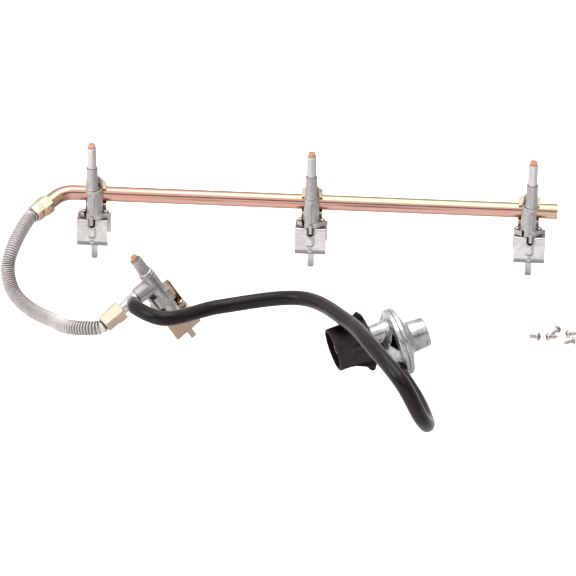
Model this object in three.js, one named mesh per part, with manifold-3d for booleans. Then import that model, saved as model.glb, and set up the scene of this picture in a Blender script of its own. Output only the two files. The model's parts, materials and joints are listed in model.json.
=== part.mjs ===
// Gas manifold with three upright burner valves, a corrugated feed hose, a side valve, a rubber supply
// hose and a pressure regulator. Millimetres, +X along the manifold, +Y to the back, +Z up, floor at 0.
import * as THREE from "three";
import { mergeVertices } from "three/addons/utils/BufferGeometryUtils.js";
import Module from "manifold-3d";

const wasm = await Module();
wasm.setup();

// Driving dimensions.
const gap = 0.3;
const sheet = 1.2;
const valveSpacing = 230;
const webHeight = 55.6;
const round = 16;

// Manifold tube, measured from a valve's own origin.
const tubeRadius = 7.95;
const tubeBore = 6.7;
const tubeBack = 16.7;
const tubeRise = 18.4;
const tubeRight = 258;
const bendStart = -251;
const bendRadius = 24;
const bendLateral = new THREE.Vector3(0, -0.968, -0.251);
const bendAngle = 0.925;
const bendTail = 22;

// Burner valve, measured up from the top of its bracket web.
const shoulderRise = 32.5;
const neckTop = 57.8;
const sleeveTop = 81.4;
const stemTop = 85.4;
const sleeveRadius = 4.85;
const stemRadius = 2.5;
const plugBottom = 6;
const plugTop = 26.2;
const portRise = 16;
const bodyOffsets = [2.2, 0.3, -2];
const pegOffsets = [-0.4, 0.2, 0.8];
const bodyTopRadius = 7.2;
const bodyRadius = 8.4;
const lugSpan = 11.5;
const neckRadius = 5.9;
const neckBore = sleeveRadius + gap;

// Bracket, with the slot that shows beside the valve's left lug.
const bracketWidth = 32.6;
const bracketFront = -9.8;
const bracketBack = 10.4;
const frontDrop = 29.6;
const rearDrop = 23.5;
const tabWidth = 6.9;
const slotLeft = -9;
const slotRight = -6.4;

// Side valve frame: stem direction, and the direction from its inlet boss to its body.
const sideOrigin = new THREE.Vector3(-130.7, -150.6, 31.8);
const sideStem = new THREE.Vector3(-0.462, -0.226, 0.86).normalize();
const sideAcross = new THREE.Vector3(0.8, 0.5, 0.5);
const inletRise = 44.5;
const bossReach = 21;
const teeReach = 52.6;
const branchReach = 27;
const sideDrop = 23.5;
const sideRise = 30;
const sideBodyTop = 60;
const sideNeckTop = 81;
const branchDirection = new THREE.Vector3(0.214, -0.951, 0.221).normalize();

// Hoses.
const flexRadius = 7.2;
const flexBore = 5;
const hoseRadius = 7.7;
const hoseBore = 4.7;
const sideNutReach = 41.5;
const nutLength = 23;

// Regulator frame: centre of its diaphragm, axis from the coupling nut to the spring tower.
const regulatorCentre = new THREE.Vector3(98.8, -197.5, 35.2);
const regulatorTurn = THREE.MathUtils.degToRad(21);
const regulatorTilt = THREE.MathUtils.degToRad(13);
const discRadius = 34.8;
const rimThickness = 4.2;
const towerRadius = 15.5;
const towerReach = 30.4;
const inletOffset = 17;
const nutFace = -67;
const nutBack = -28;
const outletLow = -13.8;
const outletBack = -12;
const outletReach = 31;
const fittingReach = 19;

const materials = {
  plated: new THREE.MeshStandardMaterial({ color: 0xd9a98c, roughness: 0.3, metalness: 1 }),
  gold: new THREE.MeshStandardMaterial({ color: 0xdcc08a, roughness: 0.35, metalness: 1 }),
  casting: new THREE.MeshStandardMaterial({ color: 0x9c9a98, roughness: 0.6, metalness: 0.8 }),
  zinc: new THREE.MeshStandardMaterial({ color: 0xcfccc8, roughness: 0.4, metalness: 1 }),
  brass: new THREE.MeshStandardMaterial({ color: 0xc8935a, roughness: 0.35, metalness: 1 }),
  bright: new THREE.MeshStandardMaterial({ color: 0xc6c4c2, roughness: 0.3, metalness: 1 }),
  steel: new THREE.MeshStandardMaterial({ color: 0xb4aca6, roughness: 0.4, metalness: 1 }),
  flex: new THREE.MeshStandardMaterial({ color: 0xb8aeab, roughness: 0.35, metalness: 1 }),
  rubber: new THREE.MeshStandardMaterial({ color: 0x2a2427, roughness: 0.55, metalness: 0 }),
  plastic: new THREE.MeshStandardMaterial({ color: 0x1d1819, roughness: 0.6, metalness: 0 }),
};

const assembly = new THREE.Group();
assembly.name = "gas_manifold_assembly";

// A closed geometry as a solid for cutting and joining.
function solid(geometry) {
  const bare = geometry.clone();
  bare.deleteAttribute("normal");
  bare.deleteAttribute("uv");
  const merged = mergeVertices(bare, 1e-4);
  return new wasm.Manifold(
    new wasm.Mesh({
      numProp: 3,
      vertProperties: new Float32Array(merged.attributes.position.array),
      triVerts: new Uint32Array(merged.index.array),
    })
  );
}

function geometryOf(shape) {
  const mesh = shape.getMesh();
  const geometry = new THREE.BufferGeometry();
  geometry.setAttribute("position", new THREE.BufferAttribute(mesh.vertProperties, 3));
  geometry.setIndex(new THREE.BufferAttribute(mesh.triVerts, 1));
  const flat = geometry.toNonIndexed();
  flat.computeVertexNormals();
  return flat;
}

function join(...shapes) {
  return shapes.reduce((all, shape) => all.add(shape));
}

function cut(shape, ...tools) {
  return tools.reduce((rest, tool) => rest.subtract(tool), shape);
}

// A body of revolution about Z from [radius, height] points listed from the bottom of the axis up.
function turned(points, sides = round) {
  const profile = points.map(([radius, height]) => new THREE.Vector2(radius, height));
  return solid(new THREE.LatheGeometry(profile, sides).rotateX(Math.PI / 2));
}

function block(x0, x1, y0, y1, z0, z1) {
  const box = new THREE.BoxGeometry(x1 - x0, y1 - y0, z1 - z0);
  return solid(box.translate((x0 + x1) / 2, (y0 + y1) / 2, (z0 + z1) / 2));
}

// A round rod between two points.
function rod(radius, from, to, sides = 12, endRadius = radius) {
  const start = new THREE.Vector3(...from);
  const end = new THREE.Vector3(...to);
  const axis = end.clone().sub(start);
  const turn = new THREE.Quaternion().setFromUnitVectors(
    new THREE.Vector3(0, 1, 0),
    axis.clone().normalize()
  );
  const bar = new THREE.CylinderGeometry(endRadius, radius, axis.length(), sides);
  bar.applyQuaternion(turn);
  return solid(bar.translate(...start.add(end).multiplyScalar(0.5)));
}

// An outline of [y, z] points drawn out along X.
function along(points, x0, x1) {
  const outline = new THREE.Shape(points.map(([y, z]) => new THREE.Vector2(y, z)));
  const prism = new THREE.ExtrudeGeometry(outline, { depth: x1 - x0, bevelEnabled: false });
  const yzToPlane = new THREE.Matrix4().makeBasis(
    new THREE.Vector3(0, 1, 0),
    new THREE.Vector3(0, 0, 1),
    new THREE.Vector3(1, 0, 0)
  );
  return solid(prism.applyMatrix4(yzToPlane).translate(x0, 0, 0));
}

// A curve read at its own points, so straight runs need no extra rings.
class PointCurve extends THREE.Curve {
  constructor(points) {
    super();
    this.points = points;
  }

  getPoint(t) {
    const place = t * (this.points.length - 1);
    const index = Math.min(Math.floor(place), this.points.length - 2);
    return this.points[index].clone().lerp(this.points[index + 1], place - index);
  }

  getPointAt(t) {
    return this.getPoint(t);
  }

  getTangentAt(t) {
    const last = this.points.length - 1;
    const place = Math.round(t * last);
    const before = this.points[Math.max(place - 1, 0)];
    const after = this.points[Math.min(place + 1, last)];
    const middle = this.points[place];
    const incoming = middle.clone().sub(before).normalize();
    const outgoing = after.clone().sub(middle).normalize();
    return incoming.add(outgoing).normalize();
  }
}

function circlePoints(radius, sides) {
  const points = [];
  for (let i = 0; i < sides; i++) {
    const turn = (2 * Math.PI * i) / sides;
    points.push(new THREE.Vector2(radius * Math.cos(turn), radius * Math.sin(turn)));
  }
  return points;
}

// A tube with a ring at each point of a curve, hollow if it is given a bore.
function pipe(curve, radius, sides, bore = 0, boreSides = 8) {
  const steps = curve.points.length - 1;
  const ring = new THREE.Shape(circlePoints(radius, sides));
  if (bore > 0) {
    ring.holes.push(new THREE.Path(circlePoints(bore, boreSides)));
  }
  return solid(new THREE.ExtrudeGeometry(ring, { steps, extrudePath: curve, bevelEnabled: false }));
}

// A coil spring about Z.
function coil(radius, wire, bottom, top, turns, segments, sides) {
  const points = [];
  for (let i = 0; i <= turns * segments; i++) {
    const turn = (2 * Math.PI * i) / segments;
    const height = bottom + wire + ((top - bottom - 2 * wire) * i) / (turns * segments);
    points.push(new THREE.Vector3(radius * Math.cos(turn), radius * Math.sin(turn), height));
  }
  return pipe(new PointCurve(points), wire, sides);
}

function place(name, shape, material, frame) {
  const geometry = geometryOf(shape);
  if (frame) {
    geometry.applyMatrix4(frame);
  }
  const mesh = new THREE.Mesh(geometry, material.clone());
  mesh.name = name;
  assembly.add(mesh);
}

// Die-cast valve body: rhombic two-lug flange, tapering core, saddle against the tube, screw boss.
function burnerBody(offset, pegPlace) {
  const [left, right] = lugs(offset);
  const outline = new THREE.Shape([
    new THREE.Vector2(left - 3.4, -2.6),
    new THREE.Vector2(offset - 6, -8.9),
    new THREE.Vector2(offset + 6, -8.9),
    new THREE.Vector2(right + 3.4, -2.6),
    new THREE.Vector2(right + 3.4, 3.2),
    new THREE.Vector2(offset + 5, 8.6),
    new THREE.Vector2(offset - 5, 8.6),
    new THREE.Vector2(left - 3.4, 3.2),
  ]);
  const flange = solid(new THREE.ExtrudeGeometry(outline, { depth: 5.7, bevelEnabled: false }));
  const core = rod(bodyRadius, [offset, 0, 4], [offset, 0, shoulderRise], round, bodyTopRadius);
  const ridge = block(offset - 1.5, offset + 1.3, -bodyRadius, 0, 4, 26);
  const peg = rod(2.1, [pegPlace, bracketFront, -5.5], [pegPlace, bracketFront, 4.5], 10);
  const pegRoot = block(pegPlace - 2.1, pegPlace + 2.1, bracketFront, -4, gap, 4.5);
  const saddle = block(offset - 7.8, offset + 7.8, 3, 9.6, 9, 29);
  const boss = block(offset - 5, offset + 5, 7.2, 9.6, 20, 40);
  const cradle = rod(tubeRadius + gap, [-30, tubeBack, tubeRise], [30, tubeBack, tubeRise], 24);
  return cut(
    join(flange.translate([0, 0, gap]), core, ridge, peg, pegRoot, saddle, boss),
    cradle,
    ...valveBores(),
    block(slotLeft, slotRight, -10, 1, -1, 7),
    rod(2, [0, 3, portRise], [0, 12, portRise], 10),
    rod(1.6, [offset, 6.6, 35.5], [offset, 12, 35.5], 8),
    rod(1.9, [left, 0, -1], [left, 0, 8], 8),
    rod(1.9, [right, 0, -1], [right, 0, 8], 8)
  );
}

// The two bracket screws' places along X.
function lugs(offset) {
  return [offset - lugSpan, offset + lugSpan];
}

// Outlet hole, tapered plug seat and spring chamber.
function valveBores() {
  return [
    rod(2.4, [0, 0, -1], [0, 0, 8], 8),
    turned([[0, 5.6], [4.35, 5.6], [5.2, 26.6], [5.2, 34], [0, 34]], 12),
  ];
}

function plug() {
  const cone = turned([[0, plugBottom], [4, plugBottom], [4.75, plugTop], [0, plugTop]], 12);
  return cut(
    cone,
    block(-3.2, 3.2, -1.2, 1.2, 20.6, 30),
    rod(1.5, [0, 0, 0], [0, 0, portRise], 8),
    rod(1.5, [0, 0, portRise - 1], [9, 0, portRise - 1], 8)
  );
}

// Screwed-on neck that guides the stem.
function bonnet() {
  return turned([
    [neckBore, shoulderRise + gap],
    [6.8, shoulderRise + gap],
    [6.8, 33.8],
    [neckRadius + 0.2, 34.6],
    [neckRadius, neckTop],
    [neckBore, neckTop],
    [neckBore, shoulderRise + gap],
  ]);
}

// Stem: key blade, spring collar, bright sleeve and flatted tip. The blade hangs in the plug's slot.
function stem(foot, collar, sleeveBottom) {
  const reach = 5.7;
  const shaft = turned([
    [0, foot],
    [stemRadius, foot],
    [stemRadius, collar],
    [4.3, collar],
    [4.3, collar + 2],
    [stemRadius, collar + 2],
    [stemRadius, sleeveBottom],
    [sleeveRadius, sleeveBottom],
    [sleeveRadius, sleeveTop],
    [3.75, sleeveTop],
    [3.75, stemTop],
    [0, stemTop],
  ], 12);
  const flat = block(-9, 9, -9, -2.5, sleeveTop, 99);
  const blade = block(-2.7, 2.7, -0.9, 0.9, foot - reach, foot + 1);
  return join(cut(shaft, flat), blade);
}

// Gas nozzle below the bracket web.
function nozzle(tip) {
  const outer = turned([
    [0, tip],
    [1.8, tip],
    [3, tip + 3],
    [5, tip + 7],
    [5, -sheet - gap],
    [4.1, -sheet - gap],
    [4.1, 0],
    [0, 0],
  ], 14);
  return cut(outer, turned([[0, tip - 1], [0.8, tip - 1], [0.8, tip + 2], [2.4, tip + 5], [2.4, 1], [0, 1]], 8));
}

// Saddle strap that wraps the back of the tube.
function strap(offset) {
  const face = 9.9;
  const inner = tubeRadius + gap;
  const outer = inner + sheet;
  const ear = face + sheet + 0.2;
  const points = [[face, 39], [face, tubeRise + inner]];
  const arcs = 8;
  for (let i = 0; i <= arcs; i++) {
    const turn = Math.PI / 2 - (Math.PI * i) / arcs;
    points.push([tubeBack + inner * Math.cos(turn), tubeRise + inner * Math.sin(turn)]);
  }
  points.push([face, tubeRise - inner], [face, 2.4], [ear, 2.4], [ear, tubeRise - outer]);
  for (let i = arcs; i >= 0; i--) {
    const turn = Math.PI / 2 - (Math.PI * i) / arcs;
    points.push([tubeBack + outer * Math.cos(turn), tubeRise + outer * Math.sin(turn)]);
  }
  points.push([ear, tubeRise + outer], [ear, 39]);
  const left = offset - 11;
  const right = offset + 11;
  return cut(
    along(points, left, right),
    rod(1.9, [offset, 6, 35.5], [offset, 14, 35.5], 8),
    block(left - 1, left + 1.8, 0, 12, 37, 40),
    block(right - 1.8, right + 1, 0, 12, 37, 40)
  );
}

// Pan-head screw along Z: head on top of z = 0, shank below.
function screw(headRadius, headHeight, shankRadius, length) {
  return turned(
    [
      [0, -length],
      [shankRadius, -length + shankRadius],
      [shankRadius, 0],
      [headRadius, 0],
      [headRadius, headHeight * 0.5],
      [headRadius * 0.5, headHeight],
      [0, headHeight],
    ],
    10
  );
}

// Folded bracket: web under the valve, front panel with a turned-in lip, rear panel with the foot tab.
function burnerBracket(offset, pegPlace) {
  const half = bracketWidth / 2;
  const [left, right] = lugs(offset);
  const front = bracketFront;
  const inner = front + sheet;
  const back = bracketBack;
  const fold = [
    [front, -1],
    [front + 1, 0],
    [back, 0],
    [back, -sheet],
    [inner, -sheet],
    [inner, -frontDrop + 4.2],
    [inner + 1.7, -frontDrop - 0.4],
    [inner + 0.6, -frontDrop - 0.9],
    [front, -frontDrop + 4.2],
  ];
  const rear = block(-half + offset / 2, half + 1 + offset / 2, back - sheet, back, -rearDrop, 0);
  const tab = block(-tabWidth / 2, tabWidth / 2, back - sheet, back, -webHeight + 1.4, -rearDrop + 3);
  const tabEnd = block(-tabWidth / 2 + 1.2, tabWidth / 2 - 1.2, back - sheet, back, -webHeight, -50);
  const emboss = join(
    turned([[0, -24.4], [2.4, -24.4], [3, -20.6], [4.6, -19.4], [4.6, -11], [3.4, -9], [0, -9]], 12),
    turned([[0, -27], [2.6, -26.6], [2.6, -25], [0, -24.2]], 10)
  );
  const raised = emboss.translate([0, front + 0.6, 0]).trimByPlane([0, -1, 0], -front - sheet);
  const notchPlace = pegPlace * 0.5;
  const notch = join(
    block(notchPlace - 3.8, notchPlace + 3.8, -20, -6.4, -5, 5),
    rod(3.8, [notchPlace, -20, -5], [notchPlace, front + sheet + 0.2, -5], 12)
  );
  return cut(
    join(along(fold, -half, half), rear, tab, tabEnd, raised),
    notch,
    rod(4.5, [0, 0, -5], [0, 0, 5], 14),
    rod(1.9, [left, 0, -5], [left, 0, 5], 8),
    rod(1.9, [right, 0, -5], [right, 0, 5], 8),
    block(slotLeft, slotRight, -7.5, 1, -5, 5)
  );
}

function matrixAt(x, y, z) {
  return new THREE.Matrix4().makeTranslation(x, y, z);
}

function burnerValve(index) {
  const name = `valve${index + 1}`;
  const offset = bodyOffsets[index];
  const frame = matrixAt((index - 1) * valveSpacing, 0, webHeight);
  place(`${name}_body`, burnerBody(offset, pegOffsets[index]), materials.casting, frame);
  place(`${name}_bonnet`, bonnet(), materials.casting, frame);
  place(`${name}_stem`, stem(29.7, 38, 50), materials.brass, frame);
  place(`${name}_plug`, plug(), materials.brass, frame);
  place(`${name}_spring`, coil(3.5, 0.45, plugTop + gap, 37.7, 4, 8, 4), materials.steel, frame);
  place(`${name}_nozzle`, nozzle(-27), materials.brass, frame);
  place(`${name}_strap`, strap(offset), materials.gold, frame);
  const rearward = new THREE.Matrix4().makeRotationX(-Math.PI / 2);
  const strapScrew = frame.clone().multiply(matrixAt(offset, 11.6, 35.5)).multiply(rearward);
  place(`${name}_strap_screw`, screw(2.8, 1.8, 1.2, 4.2), materials.steel, strapScrew);
  place(`${name}_bracket`, burnerBracket(offset, pegOffsets[index]), materials.zinc, frame);
  lugs(offset).forEach((x, side) => {
    const at = frame.clone().multiply(matrixAt(x, 0, 6 + gap));
    const label = side === 0 ? "left" : "right";
    place(`${name}_bracket_screw_${label}`, screw(2.6, 1.9, 1.5, 10), materials.steel, at);
  });
}

// The tube's centreline: straight run, bend, short tail.
function tubePoints() {
  const height = webHeight + tubeRise;
  const points = [new THREE.Vector3(tubeRight, tubeBack, height)];
  const steps = 7;
  for (let i = 0; i <= steps; i++) {
    const turn = (bendAngle * i) / steps;
    const point = new THREE.Vector3(bendStart - bendRadius * Math.sin(turn), tubeBack, height);
    points.push(point.addScaledVector(bendLateral, bendRadius * (1 - Math.cos(turn))));
  }
  points.push(points[points.length - 1].clone().addScaledVector(tubeEndDirection(), bendTail));
  return points;
}

function tubeEndDirection() {
  const forward = new THREE.Vector3(-Math.cos(bendAngle), 0, 0);
  return forward.addScaledVector(bendLateral, Math.sin(bendAngle)).normalize();
}

function manifold() {
  const points = tubePoints();
  const height = webHeight + tubeRise;
  const tube = pipe(new PointCurve(points), tubeRadius, 18, tubeBore, 12);
  const end = rod(tubeBore + 0.5, [tubeRight - 9, tubeBack, height], [tubeRight - 3, tubeBack, height], 18);
  const ports = [-1, 0, 1].map((index) => {
    const x = index * valveSpacing;
    return rod(2, [x, 0, webHeight + portRise], [x, tubeBack, webHeight + portRise], 10);
  });
  return cut(join(tube, end), ...ports);
}

// Frame with Z along a direction and X as close as it can be to a second one.
function frameOf(origin, zAxis, near) {
  const z = zAxis.clone().normalize();
  const x = near.clone().addScaledVector(z, -near.dot(z)).normalize();
  const y = new THREE.Vector3().crossVectors(z, x);
  return new THREE.Matrix4().makeBasis(x, y, z).setPosition(origin);
}

function sideFrame() {
  return frameOf(sideOrigin, sideStem, sideAcross);
}

// A point given in the side valve's own frame.
function atSide(x, y, z) {
  return new THREE.Vector3(x, y, z).applyMatrix4(sideFrame());
}

function inletDirection() {
  return atSide(-1, 0, 0).sub(atSide(0, 0, 0)).normalize();
}

// Side valve body: core, inlet boss to the left, strut and one-lug flange.
function sideBody() {
  const core = turned([
    [0, gap],
    [7, gap],
    [7, 21],
    [7.9, 22],
    [8, sideBodyTop],
    [0, sideBodyTop],
  ]);
  const boss = rod(8.8, [0, 0, inletRise], [-bossReach, 0, inletRise], round);
  const strut = rod(2.3, [-13, 0, inletRise - 4], [-11.5, 0, gap + 2], 8);
  const foot = join(
    block(-12.5, 0, -4.2, 4.2, gap, 4.5),
    block(0, 11, -4.2, 4.2, gap, 4.5),
    rod(4.2, [11, 0, gap], [11, 0, 4.5], 12),
    rod(2.2, [0, -6, 24], [0, -9.4, 24], 12),
    block(-10.2, 9.6, -7.4, 8.4, 17.5, 32.5)
  );
  return cut(
    join(core, boss, strut, foot),
    rod(2.4, [0, 0, -1], [0, 0, 8], 12),
    turned([[0, 7.6], [4.35, 7.6], [5.2, 30.6], [5.2, sideBodyTop + 1], [0, sideBodyTop + 1]], 12),
    rod(3, [-8.6, 0, inletRise], [-bossReach - 1, 0, inletRise], 10),
    rod(1.5, [0, 0, portRise + 3], [-10.5, 0, inletRise], 8),
    rod(1.9, [11, 0, -1], [11, 0, 8], 10)
  );
}

function sidePlug() {
  const cone = turned([[0, 8], [4, 8], [4.75, 30.2], [0, 30.2]], 12);
  return cut(
    cone,
    block(-3.2, 3.2, -1.2, 1.2, 24.6, 34),
    rod(1.5, [0, 0, 0], [0, 0, portRise + 4], 8),
    rod(1.5, [0, 0, portRise + 3], [9, 0, portRise + 3], 8)
  );
}

function sideBonnet() {
  return turned([
    [neckBore, sideBodyTop + gap],
    [7.5, sideBodyTop + gap],
    [7.4, sideBodyTop + 2.4],
    [6.2, sideBodyTop + 3.2],
    [5.8, sideNeckTop],
    [neckBore, sideNeckTop],
    [neckBore, sideBodyTop + gap],
  ]);
}

// Plated side bracket: web, front panel with its foot tab, tall back plate with a folded edge.
function sideBracket() {
  const half = 15.5;
  const back = 10.4;
  const fold = [
    [-10, -sideDrop],
    [-10 + sheet, -sideDrop],
    [-10 + sheet, -sheet],
    [back, -sheet],
    [back, sideRise],
    [back - sheet, sideRise],
    [back - sheet, 0],
    [-9, 0],
    [-10, -1],
  ];
  const edge = block(half - sheet, half, 4.6, back, -5, sideRise);
  const leftEdge = block(-half, -half + sheet, -10, -5, -sideDrop, -sheet);
  const tab = block(-3, 3.4, -10, -10 + sheet, -33.6, -sideDrop + 1);
  return cut(
    join(along(fold, -half, half), edge, leftEdge, tab),
    block(-16, -6, 5, 12, 19, 40),
    rod(4.5, [0, 0, -5], [0, 0, 5], round),
    rod(1.9, [11, 0, -5], [11, 0, 5], 10)
  );
}

function sideValve() {
  const frame = sideFrame();
  place("side_valve_body", sideBody(), materials.casting, frame);
  place("side_valve_bonnet", sideBonnet(), materials.casting, frame);
  place("side_valve_stem", stem(33.8, 46, 55), materials.brass, frame);
  place("side_valve_plug", sidePlug(), materials.brass, frame);
  const spring = coil(3.5, 0.45, 33.9, 45.7, 4, 9, 4);
  place("side_valve_spring", spring, materials.steel, frame);
  place("side_valve_nozzle", nozzle(-20), materials.brass, frame);
  place("side_valve_bracket", sideBracket(), materials.gold, frame);
  const at = frame.clone().multiply(matrixAt(11, 0, 4.5 + gap));
  place("side_valve_bracket_screw", screw(2.8, 1.9, 1.5, 8), materials.gold, at);
}

// Silver tee from the side valve's inlet boss to the corrugated hose, with a barbed branch.
function tee() {
  const start = atSide(-bossReach - gap, 0, inletRise);
  const direction = inletDirection();
  const point = (reach) => start.clone().addScaledVector(direction, reach - bossReach);
  const branchRoot = atSide(-branchReach, 0, inletRise);
  const reach = (length) => branchRoot.clone().addScaledVector(branchDirection, length);
  const run = join(
    rod(7.6, point(bossReach), point(bossReach + 3), 18, 6.8),
    rod(6.8, point(bossReach + 2), point(33), 18),
    rod(6.4, point(32), point(teeReach), 18, 4.8),
    rod(6.2, reach(0), reach(13), 16),
    rod(3.8, reach(10), reach(18), 10)
  );
  return cut(
    run,
    rod(2.6, point(bossReach - 2), point(teeReach + 2), 10),
    rod(2.4, reach(0), reach(20), 10)
  );
}

// Swivel nut: short wide hex towards the fitting, longer narrow hex towards the hose.
function swivelNut(bore, hoseBoreRadius) {
  const wide = rod(11, [0, 0, 0], [0, 0, 10.5], 6);
  const narrow = rod(9.9, [0, 0, 10], [0, 0, nutLength], 6);
  const crown = turned([[0, -1], [9.6, -1], [11.2, 1], [11.2, nutLength + 1], [0, nutLength + 1]], 24);
  const outer = join(wide, narrow).intersect(crown);
  return cut(
    outer,
    rod(bore, [0, 0, -2], [0, 0, 11.5], 18),
    rod(hoseBoreRadius, [0, 0, 11], [0, 0, nutLength + 2], 18)
  );
}

// Start of the corrugated hose's nut at the manifold end.
function manifoldNutStart() {
  const points = tubePoints();
  const end = points[points.length - 1];
  return end.clone().addScaledVector(tubeEndDirection(), -10.5);
}

function sideNutStart() {
  return atSide(-sideNutReach, 0, inletRise);
}

// A smooth run through some points, with a straight piece before and after it.
function softPath(start, controls, end, steps) {
  const spline = new THREE.CatmullRomCurve3(controls, false, "centripetal");
  return new PointCurve([start, ...spline.getSpacedPoints(steps), end]);
}

function flexCurve() {
  const fromTube = (reach) => manifoldNutStart().addScaledVector(tubeEndDirection(), reach);
  const fromSide = (reach) => sideNutStart().addScaledVector(inletDirection(), reach);
  const controls = [
    fromTube(23.5),
    fromTube(28),
    new THREE.Vector3(-307, -58, 48),
    new THREE.Vector3(-311, -76, 31),
    new THREE.Vector3(-303, -96, 16),
    new THREE.Vector3(-284, -118.5, 10),
    new THREE.Vector3(-257.5, -147.5, 14.7),
    new THREE.Vector3(-234.5, -181, 26.6),
    fromSide(28),
    fromSide(23.5),
  ];
  return softPath(fromTube(12), controls, fromSide(12), 24);
}

function flexHose() {
  const hose = pipe(flexCurve(), flexRadius, 12, flexBore, 6);
  place("flex_hose", hose, materials.flex);
  const tubeNut = frameOf(manifoldNutStart(), tubeEndDirection(), new THREE.Vector3(0, 0, 1));
  place("flex_nut_manifold", swivelNut(tubeRadius + gap, flexRadius + 0.6), materials.gold, tubeNut);
  const sideNut = frameOf(sideNutStart(), inletDirection(), new THREE.Vector3(0, 0, 1));
  place("flex_nut_side", swivelNut(6.9, flexRadius + 0.6), materials.gold, sideNut);
}

function regulatorFrame() {
  const axis = new THREE.Vector3(
    Math.cos(regulatorTurn) * Math.cos(regulatorTilt),
    Math.sin(regulatorTurn) * Math.cos(regulatorTilt),
    Math.sin(regulatorTilt)
  );
  return frameOf(regulatorCentre, axis, new THREE.Vector3(0, 0, 1));
}

// A point given in the regulator's frame: x up, y to the front, z along its axis.
function atRegulator(x, y, z) {
  return new THREE.Vector3(x, y, z).applyMatrix4(regulatorFrame());
}

// Lower casting: rim, bell, inlet neck above the centre, outlet boss towards the front.
function regulatorBody() {
  const bell = turned([
    [0, -20],
    [15, -20],
    [22, -14],
    [28, -6],
    [33.6, -rimThickness - 0.8],
    [discRadius, -rimThickness - 0.1],
    [discRadius, -0.8],
    [0, -0.8],
  ], 32);
  const neck = rod(10.6, [inletOffset, 0, -27], [inletOffset, 0, -5], 20, 11.8);
  const atOutlet = (reach) => [outletLow, reach, outletBack];
  const boss = rod(8.6, atOutlet(0), atOutlet(fittingReach), 16);
  const spigot = rod(3.7, atOutlet(fittingReach - 2), atOutlet(outletReach + 11), 10);
  const ribs = [-1, 1].map((side) => {
    const outline = new THREE.Shape([
      new THREE.Vector2(8, -24),
      new THREE.Vector2(33, -5),
      new THREE.Vector2(8, -5),
    ]);
    const rib = new THREE.ExtrudeGeometry(outline, { depth: 3, bevelEnabled: false });
    rib.translate(0, 0, -1.5).rotateX(Math.PI / 2).rotateZ(side * 0.9);
    return solid(rib);
  });
  const chamber = turned([[0, -15], [14, -15], [24, -6], [27, 1], [0, 1]], 24);
  const casting = cut(
    join(bell, neck, boss, ...ribs),
    rod(6.3, atOutlet(fittingReach), atOutlet(outletReach + 20), 16),
    rod(hoseRadius + gap, atOutlet(outletReach - gap), atOutlet(outletReach + 20), 16)
  );
  return cut(
    join(casting, spigot),
    chamber,
    rod(6.4, [inletOffset, 0, -40], [inletOffset, 0, -17], 14),
    rod(3, [inletOffset, 0, -20], [inletOffset - 3, 0, -8], 10),
    rod(2.2, [outletLow, 5, outletBack + 2], atOutlet(12), 10),
    rod(2.2, atOutlet(11), atOutlet(outletReach + 12), 10)
  );
}

// Upper casting: rim, dome and spring tower.
function regulatorCover() {
  const outer = turned([
    [0, 0.8],
    [discRadius, 0.8],
    [discRadius, rimThickness - 0.4],
    [34, rimThickness + 0.3],
    [30, rimThickness + 1],
    [24, 8.5],
    [17.5, 10.5],
    [towerRadius, 12],
    [towerRadius - 0.4, towerReach - 0.8],
    [towerRadius - 1.2, towerReach],
    [0, towerReach],
  ], 32);
  const hollow = turned([
    [0, 0],
    [27, 0],
    [24, 5.5],
    [12.6, 8.5],
    [12.6, towerReach + 1],
    [0, towerReach + 1],
  ], 24);
  const flat = block(-4, 4, 14.6, 20, 14, 40);
  return cut(outer, hollow, flat, rod(1, [-6, 13, 17], [-12, 22, 17], 8));
}

function regulatorCap() {
  return cut(
    turned([[0, 24], [12.2, 24], [12.2, towerReach - 1.5], [0, towerReach - 1.5]], 20),
    rod(4.4, [0, 0, 25.6], [0, 0, 40], 6)
  );
}

// Brass inlet nipple with a retaining collar; its bore runs through.
function nipple() {
  const body = turned([
    [0, -64],
    [4.6, -64],
    [6.4, -60],
    [6.4, -48],
    [8, -47],
    [8, -45],
    [10.4, -44],
    [10.4, -40],
    [8, -39.6],
    [8, -27 - gap],
    [6.1, -27 - gap],
    [6.1, -17.4],
    [0, -17.4],
  ]);
  return cut(body, rod(2.4, [0, 0, -70], [0, 0, -10], 10)).translate([inletOffset, 0, 0]);
}

// Hand nut: hollow cup with five grip lobes that flare towards its back.
function couplingNut() {
  const cup = turned([
    [0, nutFace],
    [21.4, nutFace],
    [22.1, nutFace + 1],
    [22, -52],
    [23.2, -40],
    [24.5, -32],
    [23, nutBack],
    [0, nutBack],
  ], 30);
  const lobes = [];
  const count = 5;
  for (let i = 0; i < count; i++) {
    const outline = new THREE.Shape([
      new THREE.Vector2(20, -60),
      new THREE.Vector2(22.8, -50),
      new THREE.Vector2(27.5, -39.5),
      new THREE.Vector2(32.4, -36.5),
      new THREE.Vector2(33, -33.5),
      new THREE.Vector2(27.5, -29.5),
      new THREE.Vector2(20, -29.5),
    ]);
    const lobe = new THREE.ExtrudeGeometry(outline, { depth: 7, bevelEnabled: false });
    lobe.translate(0, 0, -3.5).rotateX(Math.PI / 2).rotateZ((2 * Math.PI * i) / count);
    lobes.push(solid(lobe));
  }
  const hollow = turned([
    [0, -80],
    [19.2, -80],
    [19.2, -46],
    [11.2, -38.8],
    [8.5, -38.8],
    [8.5, -20],
    [0, -20],
  ], 24);
  return cut(join(cup, ...lobes), hollow).translate([inletOffset, 0, 0]);
}

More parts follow.
